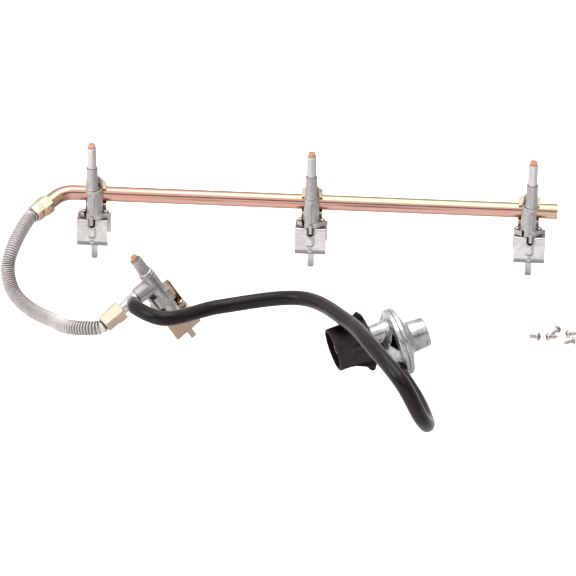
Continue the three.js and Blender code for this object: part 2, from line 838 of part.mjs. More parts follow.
function regulator() {
  const frame = regulatorFrame();
  place("regulator_body", regulatorBody(), materials.casting, frame);
  place("regulator_cover", regulatorCover(), materials.casting, frame);
  place("regulator_diaphragm", turned([[0, -0.4], [33, -0.4], [33, 0.4], [0, 0.4]], 24), materials.rubber, frame);
  place("regulator_spring", coil(8.5, 1, 1, 23.4, 4, 12, 5), materials.steel, frame);
  place("regulator_cap", regulatorCap(), materials.casting, frame);
  place("inlet_nipple", nipple(), materials.brass, frame);
  place("coupling_nut", couplingNut(), materials.plastic, frame);
}

function hoseCurve() {
  const branchRoot = atSide(-branchReach, 0, inletRise);
  const fromTee = (reach) => branchRoot.clone().addScaledVector(branchDirection, reach);
  const fromOutlet = (reach) => atRegulator(outletLow, outletReach + reach, outletBack);
  const controls = [
    fromTee(18.5),
    fromTee(24),
    new THREE.Vector3(-137, -213, 60),
    new THREE.Vector3(-82, -171, 52),
    new THREE.Vector3(-2, -165, 62),
    new THREE.Vector3(46, -229, 77),
    new THREE.Vector3(77, -297, 86),
    new THREE.Vector3(107, -339, 72),
    new THREE.Vector3(125, -338.5, 36),
    new THREE.Vector3(132, -312, 11.3),
    new THREE.Vector3(121.5, -268, 10.2),
    fromOutlet(16),
    fromOutlet(12),
  ];
  return softPath(fromTee(13.4), controls, fromOutlet(0), 36);
}

function supplyHose() {
  place("supply_hose", pipe(hoseCurve(), hoseRadius, 12, hoseBore, 6), materials.rubber);
  const length = outletReach - fittingReach - 2 * gap;
  const ferrule = turned([
    [4, 0],
    [5.6, 0],
    [5.9, 3],
    [5.9, length - 2],
    [5.2, length],
    [4, length],
    [4, 0],
  ]);
  const at = atRegulator(outletLow, fittingReach + gap, outletBack);
  const forward = atRegulator(0, 1, 0).sub(atRegulator(0, 0, 0));
  place("hose_ferrule", ferrule, materials.bright, frameOf(at, forward, new THREE.Vector3(0, 0, 1)));
}

// Spare panel screws lying beside the regulator: head position and shank direction on the floor.
function looseScrews() {
  const places = [
    [240.5, -124, 155],
    [251.5, -123.3, 25],
    [260.8, -107, 230],
    [272, -116, 32],
    [276.5, -129.5, 193],
  ];
  const headRadius = 4.2;
  const length = 11.5;
  places.forEach(([x, y, degrees], index) => {
    const turn = THREE.MathUtils.degToRad(degrees);
    const drop = Math.asin((headRadius - 2.2) / length);
    const shank = new THREE.Vector3(
      Math.cos(turn) * Math.cos(drop),
      Math.sin(turn) * Math.cos(drop),
      -Math.sin(drop)
    );
    const origin = new THREE.Vector3(x, y, headRadius);
    const frame = frameOf(origin, shank.negate(), new THREE.Vector3(0, 0, 1));
    place(`panel_screw${index + 1}`, screw(headRadius, 2.6, 2.1, length), materials.steel, frame);
  });
}

// The finished part sits with the centre of its underside at the origin.
function centre() {
  const box = new THREE.Box3().setFromObject(assembly);
  const middle = box.getCenter(new THREE.Vector3());
  for (const mesh of assembly.children) {
    mesh.geometry.translate(-middle.x, -middle.y, -box.min.z);
  }
}

for (let index = 0; index < 3; index++) {
  burnerValve(index);
}
place("manifold_tube", manifold(), materials.plated);
sideValve();
place("tee_fitting", tee(), materials.bright);
flexHose();
regulator();
supplyHose();
looseScrews();
centre();

export default assembly;
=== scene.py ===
"""Looks of a gas manifold assembly: fine meshes, materials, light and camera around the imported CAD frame."""

import bmesh
import bpy
import json
import math
from mathutils import Matrix, Vector


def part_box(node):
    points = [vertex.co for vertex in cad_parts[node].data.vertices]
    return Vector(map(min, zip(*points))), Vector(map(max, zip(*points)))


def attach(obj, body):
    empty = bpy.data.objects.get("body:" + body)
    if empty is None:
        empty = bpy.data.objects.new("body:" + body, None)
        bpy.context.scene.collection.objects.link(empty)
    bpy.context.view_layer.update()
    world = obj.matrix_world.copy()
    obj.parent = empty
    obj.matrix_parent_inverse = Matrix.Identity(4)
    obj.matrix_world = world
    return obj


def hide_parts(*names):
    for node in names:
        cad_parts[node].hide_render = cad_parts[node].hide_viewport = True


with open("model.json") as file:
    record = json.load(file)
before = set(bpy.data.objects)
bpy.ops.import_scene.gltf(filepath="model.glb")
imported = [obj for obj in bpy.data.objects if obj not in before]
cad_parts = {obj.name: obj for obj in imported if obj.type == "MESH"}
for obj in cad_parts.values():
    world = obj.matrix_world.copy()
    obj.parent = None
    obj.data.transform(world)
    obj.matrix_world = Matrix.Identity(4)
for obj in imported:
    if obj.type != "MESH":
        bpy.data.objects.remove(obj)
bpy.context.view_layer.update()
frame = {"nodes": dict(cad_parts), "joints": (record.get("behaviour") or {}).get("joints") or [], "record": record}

# ---- sizes that several pieces share, in millimetres ----

MM = 0.001
GAP = 0.3
SHEET = 1.2

# Burner valve: from the stem's axis and the top of the bracket.
TUBE_RADIUS = 7.95
TUBE_BACK = 16.7
TUBE_RISE = 18.4
BODY_TOP = 32.5
NECK_TOP = 57.8
SLEEVE_TOP = 81.4
STEM_TOP = 85.4
SLEEVE_RADIUS = 4.85
NECK_BORE = 5.15
SEAT_RADIUS = 5.2
LUG_SPREAD = 11.5
LUG_HOLE = 1.9
STRAP_SCREW_RISE = 35.5
SLOT_LEFT = -9
SLOT_RIGHT = -6.4
PEG_PLACES = {1: -0.4, 2: 0.2, 3: 0.8}
BRACKET_BACK = 10.4

# Hoses and regulator.
FLEX_RADIUS = 7.2
HOSE_RADIUS = 7.7
DISC_RADIUS = 34.8
INLET = 17
NUT_PIVOT_DEPTH = 50

# Side valve: from its stem's axis and the top of its bracket.
SIDE_TOP = 60
SIDE_NECK_TOP = 81
SIDE_PIVOT_RISE = 30
SIDE_LUG = 11
BRANCH_RISE = 44.5

MAIN_BODY = "manifold"


# ---- places read from the frame, in millimetres ----

def middle(node):
    low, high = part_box(node)
    return (low + high) / (2 * MM)


def joint(name):
    found = [j for j in frame["joints"] if j["name"] == name][0]
    return Vector(found["pos_m"]) / MM, Vector(found["axis"]).normalized()


def mount(name):
    return [m for m in frame["record"]["mounts"] if m["name"] == name][0]


def basis(origin, x, y, z):
    matrix = Matrix((x, y, z)).transposed().to_4x4()
    matrix.translation = origin
    return matrix


def looking(origin, z, near):
    """A frame whose Z is given and whose X leans towards near."""
    z = z.normalized()
    x = (near - z * near.dot(z)).normalized()
    return basis(origin, x, z.cross(x), z)


def valve_frame(index):
    """Z is the stem's axis, and zero is the top of the valve's bracket."""
    at = middle(f"valve{index}_nozzle")
    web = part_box(f"valve{index}_bracket")[1].z / MM
    return Matrix.Translation((at.x, at.y, web))


def body_offset(index):
    """How far the casting stands to the right of the stem's axis."""
    return middle(f"valve{index}_strap").x - middle(f"valve{index}_nozzle").x


def side_frame():
    """Z is the side valve's stem, and Y points from its bracket's front to its back."""
    pivot, z = joint("side_valve_turn")
    y = -Vector(mount("side_panel_face")["axis"]).normalized()
    x = y.cross(z)
    return basis(pivot - z * SIDE_PIVOT_RISE, x, y, z)


def regulator_frame():
    """Zero is the diaphragm's middle, and Z points from the hand nut to the tower."""
    pivot, z = joint("hand_nut_turn")
    turned = looking(pivot, z, Vector((0, 0, 1)))
    return turned @ Matrix.Translation((-INLET, 0, NUT_PIVOT_DEPTH))


def home():
    """The middle burner valve's axis at floor level."""
    at = middle("valve2_nozzle")
    return Vector((at.x, at.y, 0))


# ---- mesh code ----

def mesh_object(points, faces):
    mesh = bpy.data.meshes.new("work")
    mesh.from_pydata([tuple(p) for p in points], [], faces)
    obj = bpy.data.objects.new("work", mesh)
    bpy.context.scene.collection.objects.link(obj)
    tidy = bmesh.new()
    tidy.from_mesh(mesh)
    bmesh.ops.recalc_face_normals(tidy, faces=tidy.faces)
    tidy.to_mesh(mesh)
    tidy.free()
    return obj


def fillet(points, radius, steps, closed=False):
    """The polyline with each corner rounded."""
    count = len(points)
    out = []
    for i, point in enumerate(points):
        here = Vector(point)
        if not closed and i in (0, count - 1):
            out.append(here)
            continue
        before = Vector(points[i - 1])
        after = Vector(points[(i + 1) % count])
        reach = min(radius, (before - here).length * 0.45, (after - here).length * 0.45)
        start = here + (before - here).normalized() * reach
        end = here + (after - here).normalized() * reach
        for step in range(steps + 1):
            t = step / steps
            out.append(start * (1 - t) ** 2 + here * 2 * t * (1 - t) + end * t ** 2)
    return out


def lathe(profile, sides=64, radius=0.35, wave=None):
    """A body of revolution about Z. A profile that starts off the axis is a closed ring."""
    on_axis = profile[0][0] == 0
    line = fillet(profile, radius, 3, closed=not on_axis) if radius else [Vector(p) for p in profile]
    points, rings, faces = [], [], []
    for r, z in line:
        if r == 0:
            rings.append([len(points)])
            points.append((0, 0, z))
            continue
        rings.append([len(points) + k for k in range(sides)])
        for k in range(sides):
            turn = 2 * math.pi * k / sides
            far = r if wave is None else wave(r, z, turn)
            points.append((far * math.cos(turn), far * math.sin(turn), z))
    pairs = list(zip(rings, rings[1:]))
    if not on_axis:
        pairs.append((rings[-1], rings[0]))
    for low, high in pairs:
        for k in range(sides):
            n = (k + 1) % sides
            if len(low) == 1:
                faces.append((low[0], high[k], high[n]))
            elif len(high) == 1:
                faces.append((low[k], high[0], low[n]))
            else:
                faces.append((low[k], high[k], high[n], low[n]))
    return mesh_object(points, faces)


def rod(radius, start, end, sides=48, end_radius=None, edge=0.3):
    """A round bar, or a cone if end_radius is given."""
    far = radius if end_radius is None else end_radius
    start = Vector(start)
    axis = Vector(end) - start
    length = axis.length
    shape = lathe([(0, 0), (radius, 0), (far, length), (0, length)], sides, edge)
    near = Vector((0, 0, 1)) if abs(axis.normalized().z) < 0.9 else Vector((1, 0, 0))
    shape.data.transform(looking(start, axis, near))
    return shape


def prism(outline, z0, z1):
    """An outline of (x, y) points drawn out along Z."""
    count = len(outline)
    points = [(x, y, z0) for x, y in outline] + [(x, y, z1) for x, y in outline]
    faces = [tuple(reversed(range(count))), tuple(range(count, 2 * count))]
    for i in range(count):
        n = (i + 1) % count
        faces.append((i, n, count + n, count + i))
    return mesh_object(points, faces)


def block(x0, x1, y0, y1, z0, z1):
    return prism([(x0, y0), (x1, y0), (x1, y1), (x0, y1)], z0, z1)


def along_x(outline, x0, x1):
    """An outline of (y, z) points drawn out along X."""
    shape = prism(outline, x0, x1)
    shape.data.transform(Matrix(((0, 0, 1, 0), (1, 0, 0, 0), (0, 1, 0, 0), (0, 0, 0, 1))))
    return shape


def upright(outline, y0, y1):
    """An outline of (x, z) points drawn out along Y."""
    shape = prism(outline, -y1, -y0)
    shape.data.transform(Matrix.Rotation(math.pi / 2, 4, "X"))
    return shape


def strip_outline(line, thickness, bend):
    """Both sides of a sheet whose middle follows a bent line."""
    path = fillet(line, bend, 6)
    left, right = [], []
    for i, point in enumerate(path):
        before = path[max(i - 1, 0)]
        after = path[min(i + 1, len(path) - 1)]
        way = (after - before).normalized()
        side = Vector((-way.y, way.x)) * thickness / 2
        left.append(point + side)
        right.append(point - side)
    return left + right[::-1]


def apply(obj):
    graph = bpy.context.evaluated_depsgraph_get()
    mesh = bpy.data.meshes.new_from_object(obj.evaluated_get(graph))
    obj.modifiers.clear()
    old = obj.data
    obj.data = mesh
    bpy.data.meshes.remove(old)
    return obj


def carve(base, operation, tools):
    for tool in tools:
        change = base.modifiers.new("cut", "BOOLEAN")
        change.operation = operation
        change.solver = "MANIFOLD"
        change.object = tool
        apply(base)
        bpy.data.objects.remove(tool)
    return base


def fuse(base, *tools):
    return carve(base, "UNION", tools)


def cut(base, *tools):
    return carve(base, "DIFFERENCE", tools)


def common(base, *tools):
    return carve(base, "INTERSECT", tools)


def cast(obj, voxel, relax, keep):
    """Melts joined shapes into one casting with soft inner and outer corners."""
    remesh = obj.modifiers.new("melt", "REMESH")
    remesh.mode = "VOXEL"
    remesh.voxel_size = voxel
    soften = obj.modifiers.new("soften", "SMOOTH")
    soften.factor = 0.5
    soften.iterations = relax
    thin = obj.modifiers.new("thin", "DECIMATE")
    thin.ratio = keep
    apply(obj)
    obj["smooth_angle"] = 60
    return obj


def bevelled(obj, width):
    edge = obj.modifiers.new("edge", "BEVEL")
    edge.width = width
    edge.segments = 2
    edge.limit_method = "ANGLE"
    edge.angle_limit = math.radians(32)
    return apply(obj)


def sweep(points, radius, sides, bore):
    """A round tube with a bored mouth at both ends. Radius is a number or a function of distance and turn."""
    depth = 6
    count = len(points)
    ways = []
    for i in range(count):
        ways.append((points[min(i + 1, count - 1)] - points[max(i - 1, 0)]).normalized())
    side = ways[0].orthogonal().normalized()
    rings, run = [], 0.0
    for i, point in enumerate(points):
        if i:
            run += (point - points[i - 1]).length
            side = (ways[i - 1].rotation_difference(ways[i]) @ side).normalized()
        up = ways[i].cross(side)
        ring = []
        for k in range(sides):
            turn = 2 * math.pi * k / sides
            far = radius(run, turn) if callable(radius) else radius
            ring.append(point + (side * math.cos(turn) + up * math.sin(turn)) * far)
        rings.append(ring)
    skin = [p for ring in rings for p in ring]
    faces = []
    for i in range(count - 1):
        low, high = i * sides, (i + 1) * sides
        for k in range(sides):
            n = (k + 1) % sides
            faces.append((low + k, low + n, high + n, high + k))
    for end, way in ((0, depth), (count - 1, -depth)):
        share = bore / (rings[end][0] - points[end]).length
        inward = ways[end] * way
        mouth = [points[end] + (p - points[end]) * share for p in rings[end]]
        floor = [p + inward for p in mouth]
        outer = end * sides
        start = len(skin)
        skin += mouth + floor
        for k in range(sides):
            n = (k + 1) % sides
            faces.append((outer + k, outer + n, start + n, start + k))
            faces.append((start + k, start + n, start + sides + n, start + sides + k))
        faces.append(tuple(range(start + sides, start + 2 * sides)))
    return mesh_object(skin, faces)


def spline(points, spacing):
    """Evenly spaced points on a smooth curve through the given ones."""
    fine = 40
    dense = []
    count = len(points)
    for i in range(count - 1):
        p1, p2 = points[i], points[i + 1]
        p0 = points[i - 1] if i else p1 * 2 - p2
        p3 = points[i + 2] if i + 2 < count else p2 * 2 - p1
        t1 = (p1 - p0).length ** 0.5
        t2 = t1 + (p2 - p1).length ** 0.5
        t3 = t2 + (p3 - p2).length ** 0.5
        for k in range(fine):
            t = t1 + (t2 - t1) * k / fine
            a1 = p0 * ((t1 - t) / t1) + p1 * (t / t1)
            a2 = p1 * ((t2 - t) / (t2 - t1)) + p2 * ((t - t1) / (t2 - t1))
            a3 = p2 * ((t3 - t) / (t3 - t2)) + p3 * ((t - t2) / (t3 - t2))
            b1 = a1 * ((t2 - t) / t2) + a2 * (t / t2)
            b2 = a2 * ((t3 - t) / (t3 - t1)) + a3 * ((t - t1) / (t3 - t1))
            dense.append(b1 * ((t2 - t) / (t2 - t1)) + b2 * ((t - t1) / (t2 - t1)))
    dense.append(points[-1])
    total = sum((b - a).length for a, b in zip(dense, dense[1:]))
    steps = max(2, round(total / spacing))
    out, run, goal = [dense[0]], 0.0, total / steps
    for a, b in zip(dense, dense[1:]):
        length = (b - a).length
        while length and run + length >= goal - 1e-9 and len(out) < steps:
            out.append(a.lerp(b, (goal - run) / length))
            goal += total / steps
        run += length
    out.append(dense[-1])
    return out


def settle(obj, name, place, material, slot, *nodes, body=MAIN_BODY):
    """Moves a finished mesh from its own frame in millimetres to the object's frame in metres."""
    obj.data.transform(Matrix.Scale(MM, 4) @ place)
    obj.name = name
    obj.data.name = name
    obj.data.materials.clear()
    obj.data.materials.append(material)
    obj.data.shade_smooth()
    obj.data.set_sharp_from_angle(angle=math.radians(obj.get("smooth_angle", 38)))
    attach(obj, body)
    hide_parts(*nodes)


# ---- materials ----

def srgb(red, green, blue):
    def linear(c):
        c = c / 255
        return c / 12.92 if c <= 0.04045 else ((c + 0.055) / 1.055) ** 2.4

    return (linear(red), linear(green), linear(blue), 1)


RANGE_SOCKETS = ("From Min", "From Max", "To Min", "To Max")


class Paint:
    """A small helper that wires up one node material."""

    def __init__(self, name):
        self.material = bpy.data.materials.new(name)
        self.material.use_nodes = True
        self.tree = self.material.node_tree
        self.surface = self.tree.nodes["Principled BSDF"]
        self.place = self.add("ShaderNodeTexCoord").outputs["Object"]

    def add(self, kind, **settings):
        node = self.tree.nodes.new(kind)
        for key, value in settings.items():
            setattr(node, key, value)
        return node

    def wire(self, source, target):
        self.tree.links.new(source, target)

    def feed(self, value, target):
        """Sets a socket to a plain value, or wires an output to it."""
        if isinstance(value, (int, float, tuple)):
            target.default_value = value
        else:
            self.wire(value, target)

    def noise(self, scale, detail=3, stretch=(1, 1, 1), rough=0.55):
        mapping = self.add("ShaderNodeMapping")
        mapping.inputs["Scale"].default_value = stretch
        self.wire(self.place, mapping.inputs["Vector"])
        node = self.add("ShaderNodeTexNoise")
        node.inputs["Scale"].default_value = scale
        node.inputs["Detail"].default_value = detail
        node.inputs["Roughness"].default_value = rough
        self.wire(mapping.outputs["Vector"], node.inputs["Vector"])
        return node.outputs["Fac"]

    def spread(self, source, low, high, to_low=0.0, to_high=1.0):
        node = self.add("ShaderNodeMapRange")
        for key, value in zip(RANGE_SOCKETS, (low, high, to_low, to_high)):
            node.inputs[key].default_value = value
        self.wire(source, node.inputs["Value"])
        return node.outputs["Result"]

    def mix(self, factor, first, second):
        node = self.add("ShaderNodeMix", data_type="RGBA")
        self.feed(factor, node.inputs["Factor"])
        self.feed(first, node.inputs["A"])
        self.feed(second, node.inputs["B"])
        return node.outputs["Result"]

    def facing(self, blend):
        node = self.add("ShaderNodeLayerWeight")
        node.inputs["Blend"].default_value = blend
        return node.outputs["Facing"]

    def openness(self, reach):
        node = self.add("ShaderNodeAmbientOcclusion", samples=8)
        node.inputs["Distance"].default_value = reach
        return node.outputs["AO"]

    def hollows(self, color, reach, deep, low, high):
        """Darkens corners and hollows that little light gets into."""
        return self.mix(self.spread(self.openness(reach), low, high), deep, color)

    def part_of(self, vector, axis):
        split = self.add("ShaderNodeSeparateXYZ")
        self.wire(vector, split.inputs["Vector"])
        return split.outputs[axis]

    def normal(self, axis):
        return self.part_of(self.add("ShaderNodeNewGeometry").outputs["Normal"], axis)

    def edges(self, color, dark, light, share):
        """Painted shade in inner corners and painted highlights on outer edges."""
        shape = self.add("ShaderNodeNewGeometry").outputs["Pointiness"]
        color = self.mix(self.spread(shape, 0.5, 0.44, 0, share), color, dark)
        return self.mix(self.spread(shape, 0.53, 0.6, 0, share), color, light)

    def times(self, first, second):
        node = self.add("ShaderNodeMath", operation="MULTIPLY")
        self.wire(first, node.inputs[0])
        self.wire(second, node.inputs[1])
        return node.outputs["Value"]

    def bump(self, height, distance, strength, under=None):
        node = self.add("ShaderNodeBump")
        node.inputs["Strength"].default_value = strength
        node.inputs["Distance"].default_value = distance
        self.wire(height, node.inputs["Height"])
        if under is not None:
            self.wire(under, node.inputs["Normal"])
        return node.outputs["Normal"]

    def finish(self, color, roughness, metallic, **more):
        """More holds any other inputs of the surface, with _ for each space in their names."""
        inputs = {"Base_Color": color, "Roughness": roughness, "Metallic": metallic, **more}
        for key, value in inputs.items():
            self.feed(value, self.surface.inputs[key.replace("_", " ")])
        return self.material


def plated_tube():
    p = Paint("plated_tube")
    patches = p.spread(p.noise(34, 2, (0.3, 1.6, 1.6)), 0.52, 0.66, 0, 0.7)
    color = p.mix(patches, srgb(228, 176, 162), srgb(218, 192, 152))
    # Upward-facing faces on the tube's right part turn yellower: a painted reflection.
    top = p.times(p.spread(p.normal("Z"), 0.62, 0.8), p.spread(p.part_of(p.place, "X"), -0.09, 0.06))
    color = p.mix(top, color, srgb(214, 200, 158))
    color = p.mix(p.spread(p.noise(230, 3, (0.25, 1, 1)), 0.52, 0.75, 0, 0.3), color, srgb(206, 148, 134))
    # Brown along the silhouette edges, where the tube turns away: painted shade.
    color = p.mix(p.spread(p.facing(0.5), 0.36, 0.74, 0, 0.92), color, srgb(142, 84, 62))
    drawn = p.noise(900, 2, (0.02, 1, 1))
    grain = p.bump(drawn, 0.00003, 0.2, p.bump(p.noise(60, 2), 0.0004, 0.1))
    return p.finish(color, p.spread(p.noise(140, 3, (0.2, 1, 1)), 0.3, 0.7, 0.15, 0.24), 1.0, Normal=grain)


def gold_plate():
    p = Paint("gold_plate")
    color = p.mix(p.spread(p.noise(75, 2), 0.42, 0.6), srgb(250, 232, 200), srgb(246, 212, 190))
    color = p.mix(p.spread(p.noise(160, 2), 0.58, 0.74, 0, 0.3), color, srgb(232, 226, 182))
    # Painted shade in inner corners and painted highlights on outer edges.
    color = p.edges(color, srgb(140, 92, 66), srgb(255, 240, 214), 0.8)
    # Faces turned to the right go pinker: painted shade.
    color = p.mix(p.spread(p.normal("X"), 0.05, 0.5, 0, 0.7), color, srgb(250, 214, 190))
    # Brown towards the silhouette edges: painted shade.
    color = p.mix(p.spread(p.facing(0.45), 0.5, 1.0, 0, 0.6), color, srgb(168, 112, 78))
    # Painted shade in hollows.
    color = p.hollows(color, 0.008, srgb(170, 120, 90), 0.05, 0.55)
    grain = p.bump(p.noise(1600, 2), 0.00003, 0.3)
    return p.finish(color, p.spread(p.noise(220, 3), 0.3, 0.7, 0.16, 0.28), 1.0, Normal=grain)


def casting(name, light, dark, flow, dull):
    p = Paint(name)
    color = p.mix(p.spread(p.noise(420, 4), 0.35, 0.7), light, dark)
    streaks = p.noise(60, 3, (1, 0.4, 1.3), 0.6)
    color = p.mix(p.spread(streaks, 0.48, 0.62, 0, flow), color, srgb(128, 126, 128))
    color = p.mix(p.spread(p.noise(120, 3), 0.55, 0.7, 0, flow * 0.7), color, srgb(240, 240, 240))
    # Painted shade in inner corners and painted highlights on outer edges.
    color = p.edges(color, srgb(96, 92, 93), srgb(232, 230, 230), 0.6)
    # Painted shade in hollows.
    color = p.hollows(color, 0.008, srgb(70, 66, 68), 0.25, 0.85)
    pits = p.bump(p.noise(1500, 3), 0.00008, 0.4, p.bump(p.noise(230, 3), 0.0003, 0.15))
    return p.finish(color, p.spread(p.noise(300, 3), 0.3, 0.7, dull, dull + 0.12), 0.9, Normal=pits)


def zinc_sheet():
    p = Paint("zinc_sheet")
    color = p.mix(p.spread(p.noise(130, 2), 0.4, 0.65), srgb(232, 229, 228), srgb(216, 213, 212))
    color = p.mix(p.spread(p.noise(60, 2), 0.56, 0.7, 0, 0.25), color, srgb(226, 214, 196))
    # Painted shade in inner corners and painted highlights on outer edges.
    color = p.edges(color, srgb(132, 128, 130), srgb(250, 249, 248), 0.8)
    # Downward-facing faces, such as the bottom lip, are darker: painted shade.
    color = p.mix(p.spread(p.normal("Z"), -0.04, -0.22), color, srgb(158, 156, 158))
    # Upward-facing faces, such as the bracket's top, are darker and warmer: painted shade.
    color = p.mix(p.spread(p.normal("Z"), 0.8, 0.97, 0, 0.75), color, srgb(184, 170, 164))
    # Painted shade, near black, inside the bracket and its notch.
    color = p.hollows(color, 0.022, srgb(44, 38, 42), 0.3, 0.62)
    grain = p.bump(p.noise(700, 2, (1, 1, 0.05)), 0.00003, 0.3)
    return p.finish(color, p.spread(p.noise(260, 3), 0.3, 0.7, 0.24, 0.36), 1.0, Normal=grain)


def turned_metal(name, light, dark, low, high, lines, inside=0.0, metallic=1.0):
    p = Paint(name)
    color = p.mix(p.spread(p.noise(60, 2, (0.3, 0.3, 3)), 0.35, 0.7), light, dark)
    # Darker towards the silhouette edges: painted shade.
    color = p.mix(p.spread(p.facing(0.5), 0.45, 1.0, 0, 0.6), color, srgb(112, 106, 104))
    if inside:
        # Painted shade in hollows.
        color = p.hollows(color, inside, srgb(40, 32, 32), 0.2, 0.7)
    grooves = p.bump(p.noise(900, 2, (0.02, 0.02, 4)), 0.00004, lines)
    return p.finish(color, p.spread(p.noise(350, 2), 0.3, 0.7, low, high), metallic, Normal=grooves)


def corrugated():
    p = Paint("corrugated_steel")
    color = p.mix(p.spread(p.noise(90, 3), 0.4, 0.65), srgb(246, 240, 237), srgb(234, 227, 224))
    # Painted shade in the valleys between ribs.
    color = p.hollows(color, 0.004, srgb(122, 112, 109), 0.5, 0.9)
    grain = p.bump(p.noise(1400, 2), 0.00003, 0.2)
    return p.finish(color, p.spread(p.noise(300, 2), 0.3, 0.7, 0.4, 0.5), 0.75, Normal=grain)


def rubber():
    p = Paint("rubber")
    color = p.mix(p.spread(p.noise(160, 3), 0.4, 0.65), srgb(34, 25, 30), srgb(43, 34, 39))
    # Lighter along the silhouette edges: a painted rim highlight.
    color = p.mix(p.spread(p.facing(0.5), 0.5, 0.9, 0, 0.6), color, srgb(104, 94, 99))
    # Dark where the hose faces the camera: a painted dark reflection band along its middle.
    color = p.mix(p.spread(p.facing(0.5), 0.3, 0.1, 0, 0.8), color, srgb(20, 14, 17))
    dust = p.bump(p.noise(2600, 3), 0.00004, 0.25, p.bump(p.noise(50, 2), 0.0005, 0.08))
    shine = p.spread(p.noise(420, 3), 0.3, 0.7, 0.18, 0.26)
    return p.finish(color, shine, 0.0, Normal=dust, Specular_IOR_Level=0.3)


def moulded_plastic():
    p = Paint("moulded_plastic")
    color = p.mix(p.spread(p.noise(120, 3), 0.4, 0.65), srgb(54, 45, 51), srgb(64, 55, 61))
    # Painted shade in inner corners and painted highlights on outer edges.
    color = p.edges(color, srgb(26, 21, 24), srgb(84, 78, 82), 0.5)
    # Near black deep in hollows such as the nut's mouth: painted shade.
    color = p.hollows(color, 0.03, srgb(3, 2, 3), 0.55, 0.85)
    # The specular level also drops in hollows: painted shade that keeps the mouth black.
    glint = p.spread(p.openness(0.03), 0.55, 0.9, 0, 0.22)
    grain = p.bump(p.noise(1900, 3), 0.0001, 0.45)
    shine = p.spread(p.noise(300, 3), 0.3, 0.7, 0.46, 0.6)
    return p.finish(color, shine, 0.0, Normal=grain, Specular_IOR_Level=glint)


def diaphragm_rubber():
    p = Paint("diaphragm_rubber")
    grain = p.bump(p.noise(900, 2), 0.0001, 0.4)
    return p.finish(srgb(150, 148, 149), p.spread(p.noise(200), 0.3, 0.7, 0.5, 0.7), 0.0, Normal=grain)


TUBE = plated_tube()
GOLD = gold_plate()
CAST = casting("die_casting", srgb(216, 212, 211), srgb(194, 190, 189), 0.1, 0.3)
CAST_BRIGHT = casting("regulator_casting", srgb(226, 226, 228), srgb(202, 202, 204), 0.42, 0.22)
ZINC = zinc_sheet()
BRASS = turned_metal("brass", srgb(238, 190, 158), srgb(224, 172, 140), 0.26, 0.4, 0.3, 0.012)
SLEEVE = turned_metal("bright_sleeve", srgb(240, 238, 238), srgb(232, 230, 230), 0.34, 0.4, 0.05)
NICKEL = turned_metal("nickel", srgb(240, 238, 237), srgb(228, 226, 225), 0.16, 0.26, 0.15, metallic=0.7)
STEEL = turned_metal("screw_steel", srgb(232, 222, 218), srgb(210, 196, 190), 0.16, 0.26, 0.2, 0.003)
CORRUGATED = corrugated()
RUBBER = rubber()
PLASTIC = moulded_plastic()
DIAPHRAGM = diaphragm_rubber()


# ---- upright burner valve ----

def lug_places(offset):
    return offset - LUG_SPREAD, offset + LUG_SPREAD


def valve_body(offset, peg_place):
    left, right = lug_places(offset)
    outline = fillet([
        (left - 3.4, -2.6), (offset - 6, -8.9), (offset + 6, -8.9), (right + 3.4, -2.6),
        (right + 3.4, 3.2), (offset + 5, 8.6), (offset - 5, 8.6), (left - 3.4, 3.2),
    ], 1.6, 4, closed=True)
    core = rod(8.4, (offset, 0, 4), (offset, 0, BODY_TOP), 64, 7.2, 0.6)
    collar = lathe([(0, 28), (7.2, 28.4), (7.4, 31), (7, BODY_TOP), (0, BODY_TOP)], 64, 0.4)
    house = [(offset - 5.2, 7), (offset + 5.2, 7), (offset + 4.8, 25), (offset, 29), (offset - 4.8, 25)]
    panel = common(rod(9.1, (offset, 0, 4), (offset, 0, BODY_TOP), 64, 7.9), upright(house, -20, 0))
    ridge = block(offset - 0.5, offset + 0.5, -9.5, 0, 7, 27)
    ledge = rod(9.4, (offset, 0, 5), (offset, 0, 7.4), 64, 8.8, 0.4)
    peg = rod(2.1, (peg_place, -9.8, -5.5), (peg_place, -9.8, 4.5), 32, edge=0.5)
    peg_root = block(peg_place - 2.1, peg_place + 2.1, -9.8, -4, GAP, 4.5)
    saddle = block(offset - 7.8, offset + 7.8, 3, 9.6, 9, 29)
    boss = rod(7, (offset + 0.4, 6.8, 37.5), (offset + 0.4, 9.6, 37.5), 48, edge=0.6)
    boss_root = block(offset - 6.2, offset + 6.6, 6.2, 9.6, 20, 38)
    shape = fuse(prism(outline, GAP, 6), core, collar, panel, ridge, ledge, saddle, boss, boss_root)
    cradle = rod(TUBE_RADIUS + GAP, (-30, TUBE_BACK, TUBE_RISE), (30, TUBE_BACK, TUBE_RISE), 64)
    seat = lathe([(0, 5.6), (4.4, 5.6), (SEAT_RADIUS, 26.6), (SEAT_RADIUS, 34), (0, 34)], 48, 0)
    pockets = [rod(2.1, (x, 0, -1), (x, 0, 8), 32) for x in (left, right)]
    slot = block(SLOT_LEFT, SLOT_RIGHT, -12, 1, -1, 7)
    outlet = rod(2.4, (0, 0, -1), (0, 0, 8), 24)
    screw_hole = rod(1.5, (offset, 6, STRAP_SCREW_RISE), (offset, 12, STRAP_SCREW_RISE), 24)
    shape = cut(shape, cradle, seat, slot, outlet, screw_hole, *pockets)
    return cast(fuse(shape, peg, peg_root), 0.3, 2, 0.35)


def neck():
    return lathe([
        (NECK_BORE, BODY_TOP + GAP), (6.8, BODY_TOP + GAP), (6.8, 33.8), (6.1, 34.6),
        (5.9, NECK_TOP), (NECK_BORE, NECK_TOP),
    ], 72, 0.3)


def stem_tip():
    """The stem's D-shaped end."""
    root = SLEEVE_TOP - 3
    shaft = lathe([(0, root), (3.75, root), (3.75, STEM_TOP), (0, STEM_TOP)], 64, 0.4)
    flat = block(-9, 9, -9, -2.5, SLEEVE_TOP, 99)
    return bevelled(cut(shaft, flat), 0.2)


